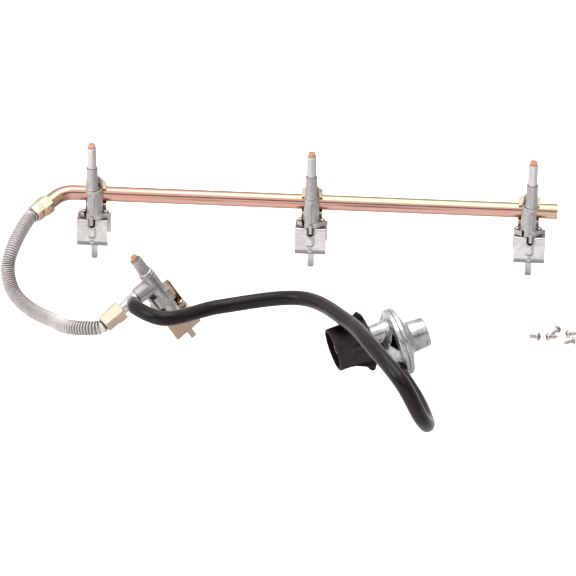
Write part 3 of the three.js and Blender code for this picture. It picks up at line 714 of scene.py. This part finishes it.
def stem_sleeve(foot, collar, sleeve_bottom):
    shaft = lathe([
        (0, foot), (2.5, foot), (2.5, collar), (4.3, collar), (4.3, collar + 2), (2.5, collar + 2),
        (2.5, sleeve_bottom), (SLEEVE_RADIUS, sleeve_bottom), (SLEEVE_RADIUS, SLEEVE_TOP),
        (3.9, SLEEVE_TOP + 0.1), (3.9, SLEEVE_TOP - 2.5), (0, SLEEVE_TOP - 2.5),
    ], 64, 0.25)
    blade = block(-2.7, 2.7, -0.9, 0.9, foot - 5.7, foot + 1)
    return fuse(shaft, blade)


def nozzle(tip):
    outer = lathe([
        (0, tip), (1.8, tip), (3, tip + 3), (5, tip + 7), (5, -1.5), (4.1, -1.5), (4.1, 0), (0, 0),
    ], 56, 0.3)
    bore = lathe([(0, tip - 1), (0.8, tip - 1), (0.8, tip + 2), (2.4, tip + 5), (2.4, 1), (0, 1)], 32, 0)
    return cut(outer, bore)


def tube_strap(offset):
    """A sheet saddle round the tube's back, screwed to the casting above it."""
    face = 10.6
    bend = TUBE_RADIUS + GAP + SHEET / 2
    steps = 12
    line = [(face, 39), (face, TUBE_RISE + bend)]
    for i in range(steps + 1):
        turn = math.pi / 2 - math.pi * i / steps
        line.append((TUBE_BACK + bend * math.cos(turn), TUBE_RISE + bend * math.sin(turn)))
    line += [(face, TUBE_RISE - bend), (face, 2.4)]
    shape = along_x(strip_outline(line, SHEET, 1.2), offset - 11, offset + 11)
    hole = rod(1.9, (offset, 6, STRAP_SCREW_RISE), (offset, 14, STRAP_SCREW_RISE), 32)
    corners = [block(offset + x - 1.4, offset + x + 1.4, 0, 12, 37.2, 40) for x in (-10.6, 10.6)]
    return bevelled(cut(shape, hole, *corners), 0.25)


def cross_screw(head_radius, head_height, shank_radius, length, pitch=1.1):
    """Pan-head cross-recess screw with a real thread: head above zero, shank below."""
    head = lathe([
        (0, -0.2), (shank_radius, -0.2), (shank_radius, 0), (head_radius, 0),
        (head_radius, head_height * 0.45), (head_radius * 0.62, head_height * 0.92), (0, head_height),
    ], 48, 0.4)
    arm, half_slot = head_radius * 0.56, 0.36
    floor_height = head_height - head_height * 0.6
    for x, y in ((arm, half_slot), (half_slot, arm)):
        head = cut(head, block(-x, x, -y, y, floor_height, head_height + 1))

    def thread(r, z, turn):
        wave = abs(((z / pitch - turn / (2 * math.pi)) % 1) * 2 - 1)
        point = min(1, max(0.15, (z + length) / (shank_radius * 1.6)))
        return r * point * (0.78 + 0.28 * wave)

    steps = 60
    line = [(0, -length)]
    for i in range(steps):
        line.append((shank_radius, -length + (length - 0.3) * (i + 0.5) / steps))
    line.append((0, -0.3))
    shank = lathe(line, 28, 0, thread)
    core = rod(shank_radius * 0.8, (0, 0, -length * 0.7), (0, 0, 0.1), 24)
    return fuse(head, core, shank)


def valve_bracket(offset, peg_place):
    """A folded sheet with an embossed stiffener in front, a foot tab behind and a notch for the peg."""
    half, front, back = 16.3, -9.8, BRACKET_BACK
    mid = SHEET / 2
    line = [(back - mid, -mid), (front + mid, -mid), (front + mid, -25.2), (front + mid + 1.6, -30.6)]
    shape = along_x(strip_outline(line, SHEET, 1.5), -half, half)
    rear = block(-half + offset / 2, half + 1 + offset / 2, back - SHEET, back, -23.5, 0)
    foot = [(-3.45, -20.5), (-3.45, -55.6), (3.45, -55.6), (3.45, -20.5)]
    tab = upright(fillet(foot, 2.2, 5, closed=True), back - SHEET, back)
    bottle = lathe([
        (0, -24.4), (2.4, -24.4), (3, -20.6), (4.6, -19.4), (4.6, -11), (3.4, -9), (0, -9),
    ], 48, 1.2)
    bead = lathe([(0, -28.8), (2.4, -28.2), (2.4, -26.4), (0, -25.8)], 32, 0.8)
    bottle.data.transform(Matrix.Translation((0, front + 0.9, 0)) @ Matrix.Diagonal((1, 0.5, 1, 1)))
    bead.data.transform(Matrix.Translation((0, front + 1, 0)) @ Matrix.Diagonal((1, 0.7, 1, 1)))
    centre = peg_place / 2
    rim = fuse(
        rod(4.9, (centre, front - 0.5, -5), (centre, front + 0.5, -5), 48),
        block(centre - 4.9, centre + 4.9, front - 0.5, front + 0.5, -5, -1.5),
    )
    notch = fuse(
        block(centre - 3.8, centre + 3.8, -20, -6.4, -5, 5),
        rod(3.8, (centre, -20, -5), (centre, front + 1.4, -5), 48),
    )
    holes = [rod(4.5, (0, 0, -5), (0, 0, 5), 48)]
    holes += [rod(LUG_HOLE, (x, 0, -5), (x, 0, 5), 24) for x in lug_places(offset)]
    holes.append(block(SLOT_LEFT, SLOT_RIGHT, -7.5, 1, -5, 5))
    return cast(cut(fuse(shape, rear, tab, bottle, bead, rim), notch, *holes), 0.3, 3, 0.3)


def burner_valve(index):
    name = f"valve{index}"
    offset = body_offset(index)
    place = valve_frame(index)
    spindle = f"{name}_spindle"
    settle(valve_body(offset, PEG_PLACES[index]), f"{name}_casting", place, CAST, "casting", f"{name}_body")
    settle(neck(), f"{name}_neck", place, CAST, "casting", f"{name}_bonnet")
    sleeve = stem_sleeve(29.7, 38, 50)
    settle(sleeve, f"{name}_sleeve", place, SLEEVE, "brass", f"{name}_stem", body=spindle)
    settle(stem_tip(), f"{name}_tip", place, BRASS, "brass", body=spindle)
    settle(nozzle(-27), f"{name}_jet", place, BRASS, "brass", f"{name}_nozzle")
    settle(tube_strap(offset), f"{name}_saddle_strap", place, GOLD, "gold_plate", f"{name}_strap")
    at = place @ Matrix.Translation((offset, 11.6, STRAP_SCREW_RISE)) @ Matrix.Rotation(-math.pi / 2, 4, "X")
    screw = cross_screw(2.8, 1.8, 1.2, 4.2, 0.8)
    settle(screw, f"{name}_saddle_screw", at, STEEL, "spring_steel", f"{name}_strap_screw")
    bracket = valve_bracket(offset, PEG_PLACES[index])
    settle(bracket, f"{name}_sheet_bracket", place, ZINC, "zinc_plate", f"{name}_bracket")
    for label, x in zip(("left", "right"), lug_places(offset)):
        at = place @ Matrix.Translation((x, 0, 6.3))
        screw = cross_screw(2.6, 1.9, 1.5, 10)
        settle(screw, f"{name}_lug_screw_{label}", at, STEEL, "spring_steel", f"{name}_bracket_screw_{label}")


# ---- manifold tube ----

BEND_RADIUS = 24
BEND_ANGLE = 0.925
BEND_START = -251
BEND_TAIL = 22
BEND_STEPS = 24
BEND_SIDE = Vector((0, -0.968, -0.251))
TUBE_RIGHT = 258


def tube_way():
    return (Vector((-math.cos(BEND_ANGLE), 0, 0)) + BEND_SIDE * math.sin(BEND_ANGLE)).normalized()


def tube_path():
    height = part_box("valve2_bracket")[1].z / MM + TUBE_RISE
    base = home() + Vector((0, TUBE_BACK, height))
    points = [base + Vector((TUBE_RIGHT, 0, 0)), base + Vector((TUBE_RIGHT - 1, 0, 0))]
    for i in range(BEND_STEPS + 1):
        turn = BEND_ANGLE * i / BEND_STEPS
        corner = base + Vector((BEND_START - BEND_RADIUS * math.sin(turn), 0, 0))
        points.append(corner + BEND_SIDE * BEND_RADIUS * (1 - math.cos(turn)))
    points.append(points[-1] + tube_way() * BEND_TAIL)
    return points


def manifold_tube():
    shape = sweep(tube_path(), TUBE_RADIUS, 72, 6.7)
    settle(bevelled(shape, 0.3), "manifold_pipe", Matrix.Identity(4), TUBE, "plated_tube", "manifold_tube")


# ---- side valve ----

BOSS_REACH = 21
BRANCH_REACH = 27
TEE_REACH = 52.6
BRANCH_WAY = Vector((0.214, -0.951, 0.221)).normalized()


def side_body():
    core = lathe([(0, GAP), (7, GAP), (7, 21), (7.9, 22), (8, SIDE_TOP), (0, SIDE_TOP)], 72, 0.6)
    boss = rod(8.8, (0, 0, BRANCH_RISE), (-BOSS_REACH, 0, BRANCH_RISE), 64, edge=0.5)
    strut = rod(2.3, (-13, 0, 40.5), (-11.5, 0, 2.3), 32)
    corners = [(-10.2, -7.4), (9.6, -7.4), (9.6, 8.4), (-10.2, 8.4)]
    knuckle = prism(fillet(corners, 2, 3, closed=True), 17.5, 32.5)
    foot = [
        block(-12.5, 0, -4.2, 4.2, GAP, 4.5),
        block(0, SIDE_LUG, -4.2, 4.2, GAP, 4.5),
        rod(4.2, (SIDE_LUG, 0, GAP), (SIDE_LUG, 0, 4.5), 40),
    ]
    stud = rod(2.2, (0, -6, 24), (0, -9.4, 24), 32)
    shape = fuse(core, boss, strut, knuckle, *foot, stud)
    seat_top = SIDE_TOP + 1
    seat = lathe([(0, 7.6), (4.4, 7.6), (SEAT_RADIUS, 30.6), (SEAT_RADIUS, seat_top), (0, seat_top)], 48, 0)
    outlet_hole = rod(2.4, (0, 0, -1), (0, 0, 8), 24)
    inlet_hole = rod(3, (-8.6, 0, BRANCH_RISE), (-22, 0, BRANCH_RISE), 24)
    lug_hole = rod(LUG_HOLE, (SIDE_LUG, 0, -1), (SIDE_LUG, 0, 8), 24)
    return cast(cut(shape, seat, outlet_hole, inlet_hole, lug_hole), 0.34, 3, 0.4)


def side_neck():
    return lathe([
        (NECK_BORE, SIDE_TOP + GAP), (7.5, SIDE_TOP + GAP), (7.4, SIDE_TOP + 2.4), (6.2, SIDE_TOP + 3.2),
        (5.8, SIDE_NECK_TOP), (NECK_BORE, SIDE_NECK_TOP),
    ], 72, 0.3)


def side_bracket():
    """A sheet folded down in front and up behind, with turned edges and a foot tab."""
    half, front, back, bottom, top = 15.5, -10, BRACKET_BACK, -23.5, 30
    mid = SHEET / 2
    line = [(front + mid, bottom), (front + mid, -mid), (back - mid, -mid), (back - mid, top)]
    shape = along_x(strip_outline(line, SHEET, 1.5), -half, half)
    right_edge = block(half - SHEET, half, 4.6, back, -1, top)
    left_edge = block(-half, -half + SHEET, front, -5, bottom, -0.5)
    foot = [(-3, -22), (-3, -33.6), (3.4, -33.6), (3.4, -22)]
    tab = upright(fillet(foot, 1.6, 4, closed=True), front, front + SHEET)
    corner = block(-17, -6, 5, 12, 19, 40)
    jet_hole = rod(4.5, (0, 0, -5), (0, 0, 5), 48)
    lug_hole = rod(LUG_HOLE, (SIDE_LUG, 0, -5), (SIDE_LUG, 0, 5), 24)
    shape = cut(fuse(shape, right_edge, left_edge, tab), corner, jet_hole, lug_hole)
    return cast(shape, 0.3, 3, 0.3)


def side_valve():
    place = side_frame()
    rider = "side_valve_spindle"
    settle(side_body(), "side_valve_casting", place, CAST, "casting", "side_valve_body")
    settle(side_neck(), "side_valve_neck", place, CAST, "casting", "side_valve_bonnet")
    sleeve = stem_sleeve(33.8, 46, 55)
    settle(sleeve, "side_valve_sleeve", place, CAST, "brass", "side_valve_stem", body=rider)
    settle(stem_tip(), "side_valve_tip", place, BRASS, "brass", body=rider)
    settle(nozzle(-20), "side_valve_jet", place, BRASS, "brass", "side_valve_nozzle")
    settle(side_bracket(), "side_valve_sheet_bracket", place, GOLD, "gold_plate", "side_valve_bracket")
    at = place @ Matrix.Translation((SIDE_LUG, 0, 4.8))
    screw = cross_screw(2.8, 1.9, 1.5, 8)
    settle(screw, "side_valve_lug_screw", at, GOLD, "gold_plate", "side_valve_bracket_screw")


def on_inlet(reach):
    """A point on the axis of the side valve's inlet."""
    return side_frame() @ Vector((-reach, 0, BRANCH_RISE))


def inlet_way():
    return -side_frame().col[0].xyz.normalized()


def branch(reach):
    """A point on the axis of the tee's hose barb."""
    return on_inlet(BRANCH_REACH) + BRANCH_WAY * reach


def tee_fitting():
    start = on_inlet(BOSS_REACH + GAP)

    def run(reach):
        return start + inlet_way() * (reach - BOSS_REACH)

    shape = fuse(
        rod(7.6, run(21), run(24), 56, 6.8),
        rod(6.8, run(23), run(33), 56),
        rod(6.4, run(32), run(TEE_REACH), 56, 4.8),
        rod(6.2, branch(0), branch(13), 56),
        rod(3.8, branch(10), branch(18), 32),
    )
    shape = cut(shape, rod(2.6, run(19), run(TEE_REACH + 2), 24), rod(2.4, branch(0), branch(20), 24))
    settle(cast(shape, 0.34, 4, 0.5), "tee_body", Matrix.Identity(4), NICKEL, "bright_plate", "tee_fitting")


# ---- corrugated hose ----

NUT_REACH = 41.5
NUT_LENGTH = 23
NUT_GRIP = 10.5
FLEX_STEP = 0.24
FLEX_STRAIGHT = (12, 23.5, 28)
FLEX_OPEN_LENGTH = 70


def swivel_nut(bore):
    """A stepped hexagon nut with turned-down corners."""
    wide = rod(11, (0, 0, 0), (0, 0, 10.5), 6, edge=0)
    narrow = rod(9.9, (0, 0, 10), (0, 0, NUT_LENGTH), 6, edge=0)
    crown = lathe([
        (0, -1), (9.4, -1), (11.05, 1.2), (11.05, 9.4), (9.9, 10.9), (9.9, NUT_LENGTH - 1.2),
        (8.9, NUT_LENGTH + 0.4), (0, NUT_LENGTH + 0.4),
    ], 72, 0)
    shape = common(fuse(wide, narrow), crown)
    tube_hole = rod(bore, (0, 0, -2), (0, 0, 11.5), 64, edge=0)
    hose_hole = rod(FLEX_RADIUS + 0.6, (0, 0, 11), (0, 0, NUT_LENGTH + 2), 64, edge=0)
    return bevelled(cut(shape, tube_hole, hose_hole), 0.3)


def flex_path(tube_end, side_end):
    bends = [
        (-307, -58, 48), (-311, -76, 31), (-303, -96, 16),
        (-284, -118.5, 10), (-257.5, -147.5, 14.7), (-234.5, -181, 26.6),
    ]
    controls = [tube_end + tube_way() * reach for reach in FLEX_STRAIGHT]
    controls += [home() + Vector(bend) for bend in bends]
    controls += [side_end + inlet_way() * reach for reach in reversed(FLEX_STRAIGHT)]
    return spline(controls, FLEX_STEP)


def flex_hose():
    tube_end = tube_path()[-1] - tube_way() * NUT_GRIP
    side_end = on_inlet(NUT_REACH)
    path = flex_path(tube_end, side_end)
    close, wide, crest_radius, depth = 2.4, 4.0, 7.6, 1.3
    opening = (len(path) - 1) * FLEX_STEP - FLEX_OPEN_LENGTH

    def ridged(run, turn):
        """Ribs stand closer along most of the hose, and open up towards the side valve."""
        spare = max(0.0, run - opening)
        waves = run / close - spare * spare * (1 / close - 1 / wide) / (2 * FLEX_OPEN_LENGTH)
        crest = 0.5 + 0.5 * math.cos(2 * math.pi * waves)
        return crest_radius - depth * (1 + spare / 90) * (1 - crest ** 0.8)

    shape = sweep(path, ridged, 40, 5)
    shape["smooth_angle"] = 80
    settle(shape, "corrugated_hose", Matrix.Identity(4), CORRUGATED, "stainless", "flex_hose")
    up = Vector((0, 0, 1))
    at = looking(tube_end, tube_way(), up)
    nut = swivel_nut(TUBE_RADIUS + GAP)
    settle(nut, "swivel_nut_manifold", at, GOLD, "gold_plate", "flex_nut_manifold")
    at = looking(side_end, inlet_way(), up)
    settle(swivel_nut(6.9), "swivel_nut_side", at, GOLD, "gold_plate", "flex_nut_side")


# ---- regulator ----

OUTLET_LOW = -13.8
OUTLET_BACK = -12
OUTLET_REACH = 31
FITTING_REACH = 19
TOWER_RADIUS = 15.5
TOWER_REACH = 30.4


def outlet(reach):
    """A point on the axis of the regulator's outlet."""
    return OUTLET_LOW, reach, OUTLET_BACK


def regulator_body():
    bell = lathe([
        (0, -20), (15, -20), (22, -14), (28, -6), (33.6, -5.2), (DISC_RADIUS, -4.2), (DISC_RADIUS, -0.5),
        (DISC_RADIUS, -0.1), (DISC_RADIUS - 0.4, -0.1), (0, -0.1),
    ], 96, 1.0)
    inlet_boss = rod(10.6, (INLET, 0, -27), (INLET, 0, -5), 56, 11.8, 1.0)
    outlet_boss = rod(8.6, outlet(0), outlet(FITTING_REACH), 56, edge=0.8)
    shape = fuse(bell, inlet_boss, outlet_boss)
    for side in (-1, 1):
        rib = prism([(8, -24), (33, -5), (8, -5)], -1.5, 1.5)
        rib.data.transform(Matrix.Rotation(side * 0.9, 4, "Z") @ Matrix.Rotation(math.pi / 2, 4, "X"))
        shape = fuse(shape, rib)
    pocket = upright([(23, -6.4), (7, -6), (12, -13)], 7, 40)
    shape = cut(
        shape,
        rod(6.4, (INLET, 0, -40), (INLET, 0, -17), 40),
        pocket,
        rod(6.3, outlet(FITTING_REACH), outlet(OUTLET_REACH + 20), 48),
        rod(HOSE_RADIUS + GAP, outlet(OUTLET_REACH - GAP), outlet(OUTLET_REACH + 20), 48),
    )
    shape = fuse(shape, rod(3.7, outlet(FITTING_REACH - 2), outlet(OUTLET_REACH + 11), 32))
    shape = cut(shape, rod(2.2, outlet(15), outlet(OUTLET_REACH + 12), 24))
    return cast(shape, 0.42, 4, 0.45)


def regulator_cover():
    outer = lathe([
        (0, 0.1), (DISC_RADIUS - 0.4, 0.1), (DISC_RADIUS, 0.1), (DISC_RADIUS, 0.5), (DISC_RADIUS, 3.8),
        (33, 5.2), (28, 6), (24, 8.5), (18.5, 10.5), (16, 12.5),
        (TOWER_RADIUS - 0.3, TOWER_REACH - 0.8), (TOWER_RADIUS - 1.2, TOWER_REACH), (0, TOWER_REACH),
    ], 96, 0.8)
    mouth = TOWER_REACH + 1
    hollow = lathe([(0, -1), (27, -1), (24, 5.5), (12.6, 8.5), (12.6, mouth), (0, mouth)], 64, 0)
    flute = block(-6.5, -0.5, 13.4, 20, 14, TOWER_REACH - 4)
    vent = rod(1.2, (-8, 10, 15), (-14, 18, 15), 24)
    return cast(cut(outer, hollow, flute, vent), 0.42, 3, 0.45)


def regulator_cap():
    plug = lathe([(0, 24), (12.2, 24), (12.2, 28), (0, 28)], 64, 0.5)
    key_hole = rod(4.4, (0, 0, 25.6), (0, 0, 40), 6, edge=0)
    return bevelled(cut(plug, key_hole), 0.3)


def inlet_nipple():
    body = lathe([
        (0, -64), (4.6, -64), (6.4, -60), (6.4, -48), (8, -47), (8, -45), (10.4, -44), (10.4, -40),
        (8, -39.6), (8, -27.3), (6.1, -27.3), (6.1, -17.4), (0, -17.4),
    ], 56, 0.4)
    shape = cut(body, rod(2.4, (0, 0, -70), (0, 0, -10), 24))
    shape.data.transform(Matrix.Translation((INLET, 0, 0)))
    return shape


def hand_nut():
    """A tapered cup with wings that stand out most at its back."""
    shape = lathe([
        (0, -67), (21.4, -67), (22.1, -66), (22, -54), (22.6, -44), (24.5, -34), (23.6, -28), (0, -28),
    ], 96, 1.6)
    outline = fillet([
        (20, -62), (21.6, -60), (22.8, -50), (27, -40), (32.4, -36.5), (33, -33.5), (27.5, -29.4),
        (20, -29.4),
    ], 0.8, 4, closed=True)
    wings = 5
    for i in range(wings):
        wing = prism(outline, -2.6, 2.6)
        turn = Matrix.Rotation(math.pi * i * 2 / wings, 4, "Z")
        wing.data.transform(turn @ Matrix.Rotation(math.pi / 2, 4, "X"))
        shape = fuse(shape, wing)
    hollow = lathe([
        (0, -80), (19.4, -80), (19.4, -46), (11.2, -38.8), (8.5, -38.8), (8.5, -20), (0, -20),
    ], 72, 0)
    shape = cast(cut(shape, hollow), 0.42, 3, 0.4)
    shape.data.transform(Matrix.Translation((INLET, 0, 0)))
    return shape


def regulator():
    place = regulator_frame()
    settle(regulator_body(), "regulator_bell", place, CAST_BRIGHT, "casting", "regulator_body")
    settle(regulator_cover(), "regulator_dome", place, CAST_BRIGHT, "casting", "regulator_cover")
    disc = rod(DISC_RADIUS - 0.2, (0, 0, -0.05), (0, 0, 0.05), 96, edge=0)
    settle(disc, "regulator_membrane", place, DIAPHRAGM, "rubber", "regulator_diaphragm")
    settle(regulator_cap(), "regulator_plug", place, CAST_BRIGHT, "casting", "regulator_cap")
    settle(inlet_nipple(), "brass_nipple", place, BRASS, "brass", "inlet_nipple")
    settle(hand_nut(), "hand_nut", place, PLASTIC, "plastic", "coupling_nut", body="hand_nut")


# ---- supply hose ----

def supply_path():
    bends = [
        (-137, -213, 60), (-82, -171, 52), (-2, -165, 62), (46, -229, 77), (77, -297, 86), (107, -339, 72),
        (125, -338.5, 36), (132, -312, 11.3), (121.5, -268, 10.2),
    ]
    controls = [branch(reach) for reach in (13.4, 18.5, 24)]
    controls += [home() + Vector(bend) for bend in bends]
    place = regulator_frame()
    controls += [place @ Vector(outlet(OUTLET_REACH + reach)) for reach in (16, 12, 0)]
    return spline(controls, 1.6)


def supply_hose():
    def skin(run, turn):
        """Two fine mould seams run along the hose."""
        seams = [math.exp(-(math.sin(turn / 2 + at) / 0.05) ** 2) for at in (-0.6, 1.1)]
        return HOSE_RADIUS - 0.12 + 0.12 * sum(seams)

    shape = sweep(supply_path(), skin, 56, 4.7)
    shape["smooth_angle"] = 60
    settle(shape, "gas_hose", Matrix.Identity(4), RUBBER, "rubber", "supply_hose")


def ferrule():
    place = regulator_frame()
    start = place @ Vector(outlet(FITTING_REACH + GAP))
    length = OUTLET_REACH - FITTING_REACH - 2 * GAP
    ring = lathe([
        (4, 0), (5.4, 0), (5.9, 1), (5.9, 4), (5.2, 4.6), (5.2, 6.4), (5.9, 7), (5.9, length - 1),
        (5.2, length), (4, length),
    ], 64, 0.3)
    at = looking(start, place.col[1].xyz, Vector((0, 0, 1)))
    settle(ring, "crimp_ferrule", at, NICKEL, "bright_plate", "hose_ferrule")


# ---- loose panel screws ----

def loose_screws():
    """Screws that lie on the edge of their heads and the tip of their shanks."""
    places = [
        (240.5, -124, 155), (251.5, -123.3, 25), (260.8, -107, 230), (272, -116, 32), (276.5, -129.5, 193),
    ]
    head, length, tip_height = 4.2, 11.5, 2.2
    drop = math.asin((head - tip_height) / length)
    for number, (x, y, degrees) in enumerate(places, 1):
        turn = math.radians(degrees)
        level = Vector((math.cos(turn), math.sin(turn), 0))
        shank = level * math.cos(drop) - Vector((0, 0, math.sin(drop)))
        at = looking(home() + Vector((x, y, head)), -shank, Vector((0, 0, 1)))
        screw = cross_screw(head, 2.6, 2.1, length, 1.3)
        settle(screw, f"loose_screw{number}", at, STEEL, "spring_steel", f"panel_screw{number}")


def inner_parts():
    """Springs and plugs stay as the CAD made them, and get their materials here."""
    for name, obj in frame["nodes"].items():
        if obj.hide_render:
            continue
        obj.data.materials.clear()
        obj.data.materials.append(STEEL if "spring" in name else BRASS)


# ---- stage ----

CAMERA_AZIMUTH = math.radians(3.044)
CAMERA_ELEVATION = math.radians(30)
CAMERA_ROLL = math.radians(0.817)
CAMERA_DISTANCE = 3783.7
CAMERA_TARGET = Vector((-23.03, 0, -22.08))


def camera():
    data = bpy.data.cameras.new("camera")
    data.sensor_width = 36
    data.lens = 222.7
    data.clip_end = 50
    view = bpy.data.objects.new("camera", data)
    bpy.context.scene.collection.objects.link(view)
    place = Matrix.Rotation(CAMERA_AZIMUTH, 4, "Z")
    place @= Matrix.Rotation(math.pi / 2 - CAMERA_ELEVATION, 4, "X")
    place @= Matrix.Rotation(CAMERA_ROLL, 4, "Z")
    back = place.col[2].xyz
    place.translation = (home() + CAMERA_TARGET + back * CAMERA_DISTANCE) * MM
    view.matrix_world = place
    bpy.context.scene.camera = view


def floor():
    half = 6
    corners = [(-half, -half, 0), (half, -half, 0), (half, half, 0), (-half, half, 0)]
    plane = mesh_object(corners, [(0, 1, 2, 3)])
    plane.name = "studio_floor"
    p = Paint("studio_floor")
    rays = p.add("ShaderNodeLightPath").outputs
    incoming = p.add("ShaderNodeNewGeometry").outputs["Incoming"]
    # Only in reflections, the floor darkens as rays head right: painted shade that darkens the right sides of the
    # metal parts.
    rightward = p.spread(p.part_of(incoming, "X"), -0.05, -0.75)
    color = p.mix(p.spread(p.noise(2, 2), 0.3, 0.7), (0.93, 0.93, 0.93, 1), (0.91, 0.91, 0.91, 1))
    color = p.mix(p.times(rightward, rays["Is Glossy Ray"]), color, (0.48, 0.48, 0.49, 1))
    glow = p.spread(rays["Is Camera Ray"], 0, 1, 0, 0.88)
    p.finish(color, 0.8, 0.0, Emission_Color=(1, 1, 1, 1), Emission_Strength=glow)
    plane.data.materials.append(p.material)


def lamp(name, energy, size, place):
    """An area lamp, in metres, that looks at the frame's origin."""
    data = bpy.data.lights.new(name, "AREA")
    data.energy = energy
    data.size = size
    obj = bpy.data.objects.new(name, data)
    obj.location = place
    obj.rotation_euler = Vector(place).to_track_quat("Z", "Y").to_euler()
    bpy.context.scene.collection.objects.link(obj)


def studio():
    """Bright surroundings, darker in a strip behind the camera, low behind the object and to the right."""
    world = bpy.data.worlds.new("studio")
    bpy.context.scene.world = world
    world.use_nodes = True
    tree = world.node_tree

    def ramp(source, low, high, to_low, to_high):
        node = tree.nodes.new("ShaderNodeMapRange")
        node.interpolation_type = "SMOOTHSTEP"
        for key, value in zip(RANGE_SOCKETS, (low, high, to_low, to_high)):
            node.inputs[key].default_value = value
        tree.links.new(source, node.inputs["Value"])
        return node.outputs["Result"]

    def calc(operation, first, second):
        node = tree.nodes.new("ShaderNodeMath")
        node.operation = operation
        for socket, value in zip(node.inputs, (first, second)):
            if isinstance(value, (int, float)):
                socket.default_value = value
            else:
                tree.links.new(value, socket)
        return node.outputs["Value"]

    split = tree.nodes.new("ShaderNodeSeparateXYZ")
    tree.links.new(tree.nodes.new("ShaderNodeTexCoord").outputs["Generated"], split.inputs["Vector"])
    height, depth = split.outputs["Z"], split.outputs["Y"]
    off_strip = calc("ABSOLUTE", calc("SUBTRACT", height, 0.48), 0)
    strip = calc("MULTIPLY", ramp(off_strip, 0.07, 0.2, 1, 0), ramp(depth, -0.75, -0.3, 1, 0))
    behind = calc("MULTIPLY", ramp(height, 0.3, 0.75, 1, 0), ramp(depth, 0.2, 0.7, 0, 1))
    right_side = ramp(split.outputs["X"], 0.2, 0.8, 0, 0.5)
    shade = calc("ADD", calc("MULTIPLY", strip, 0.95), calc("MULTIPLY", behind, 0.35))
    strength = calc("MAXIMUM", calc("SUBTRACT", calc("SUBTRACT", 1.0, shade), right_side), 0.02)
    seen = tree.nodes.new("ShaderNodeLightPath").outputs["Is Camera Ray"]
    tree.links.new(calc("MAXIMUM", strength, seen), tree.nodes["Background"].inputs["Strength"])
    tree.nodes["Background"].inputs["Color"].default_value = (1, 1, 1, 1)
    lamp("softbox_top", 14, 1.6, (0.2, 0.3, 2.0))
    lamp("softbox_left", 8, 1.0, (-1.6, -0.9, 1.5))
    scene = bpy.context.scene
    scene.view_settings.view_transform = "Standard"
    scene.view_settings.look = "None"


for number in (1, 2, 3):
    burner_valve(number)
manifold_tube()
side_valve()
tee_fitting()
flex_hose()
regulator()
supply_hose()
ferrule()
loose_screws()
inner_parts()
camera()
floor()
studio()
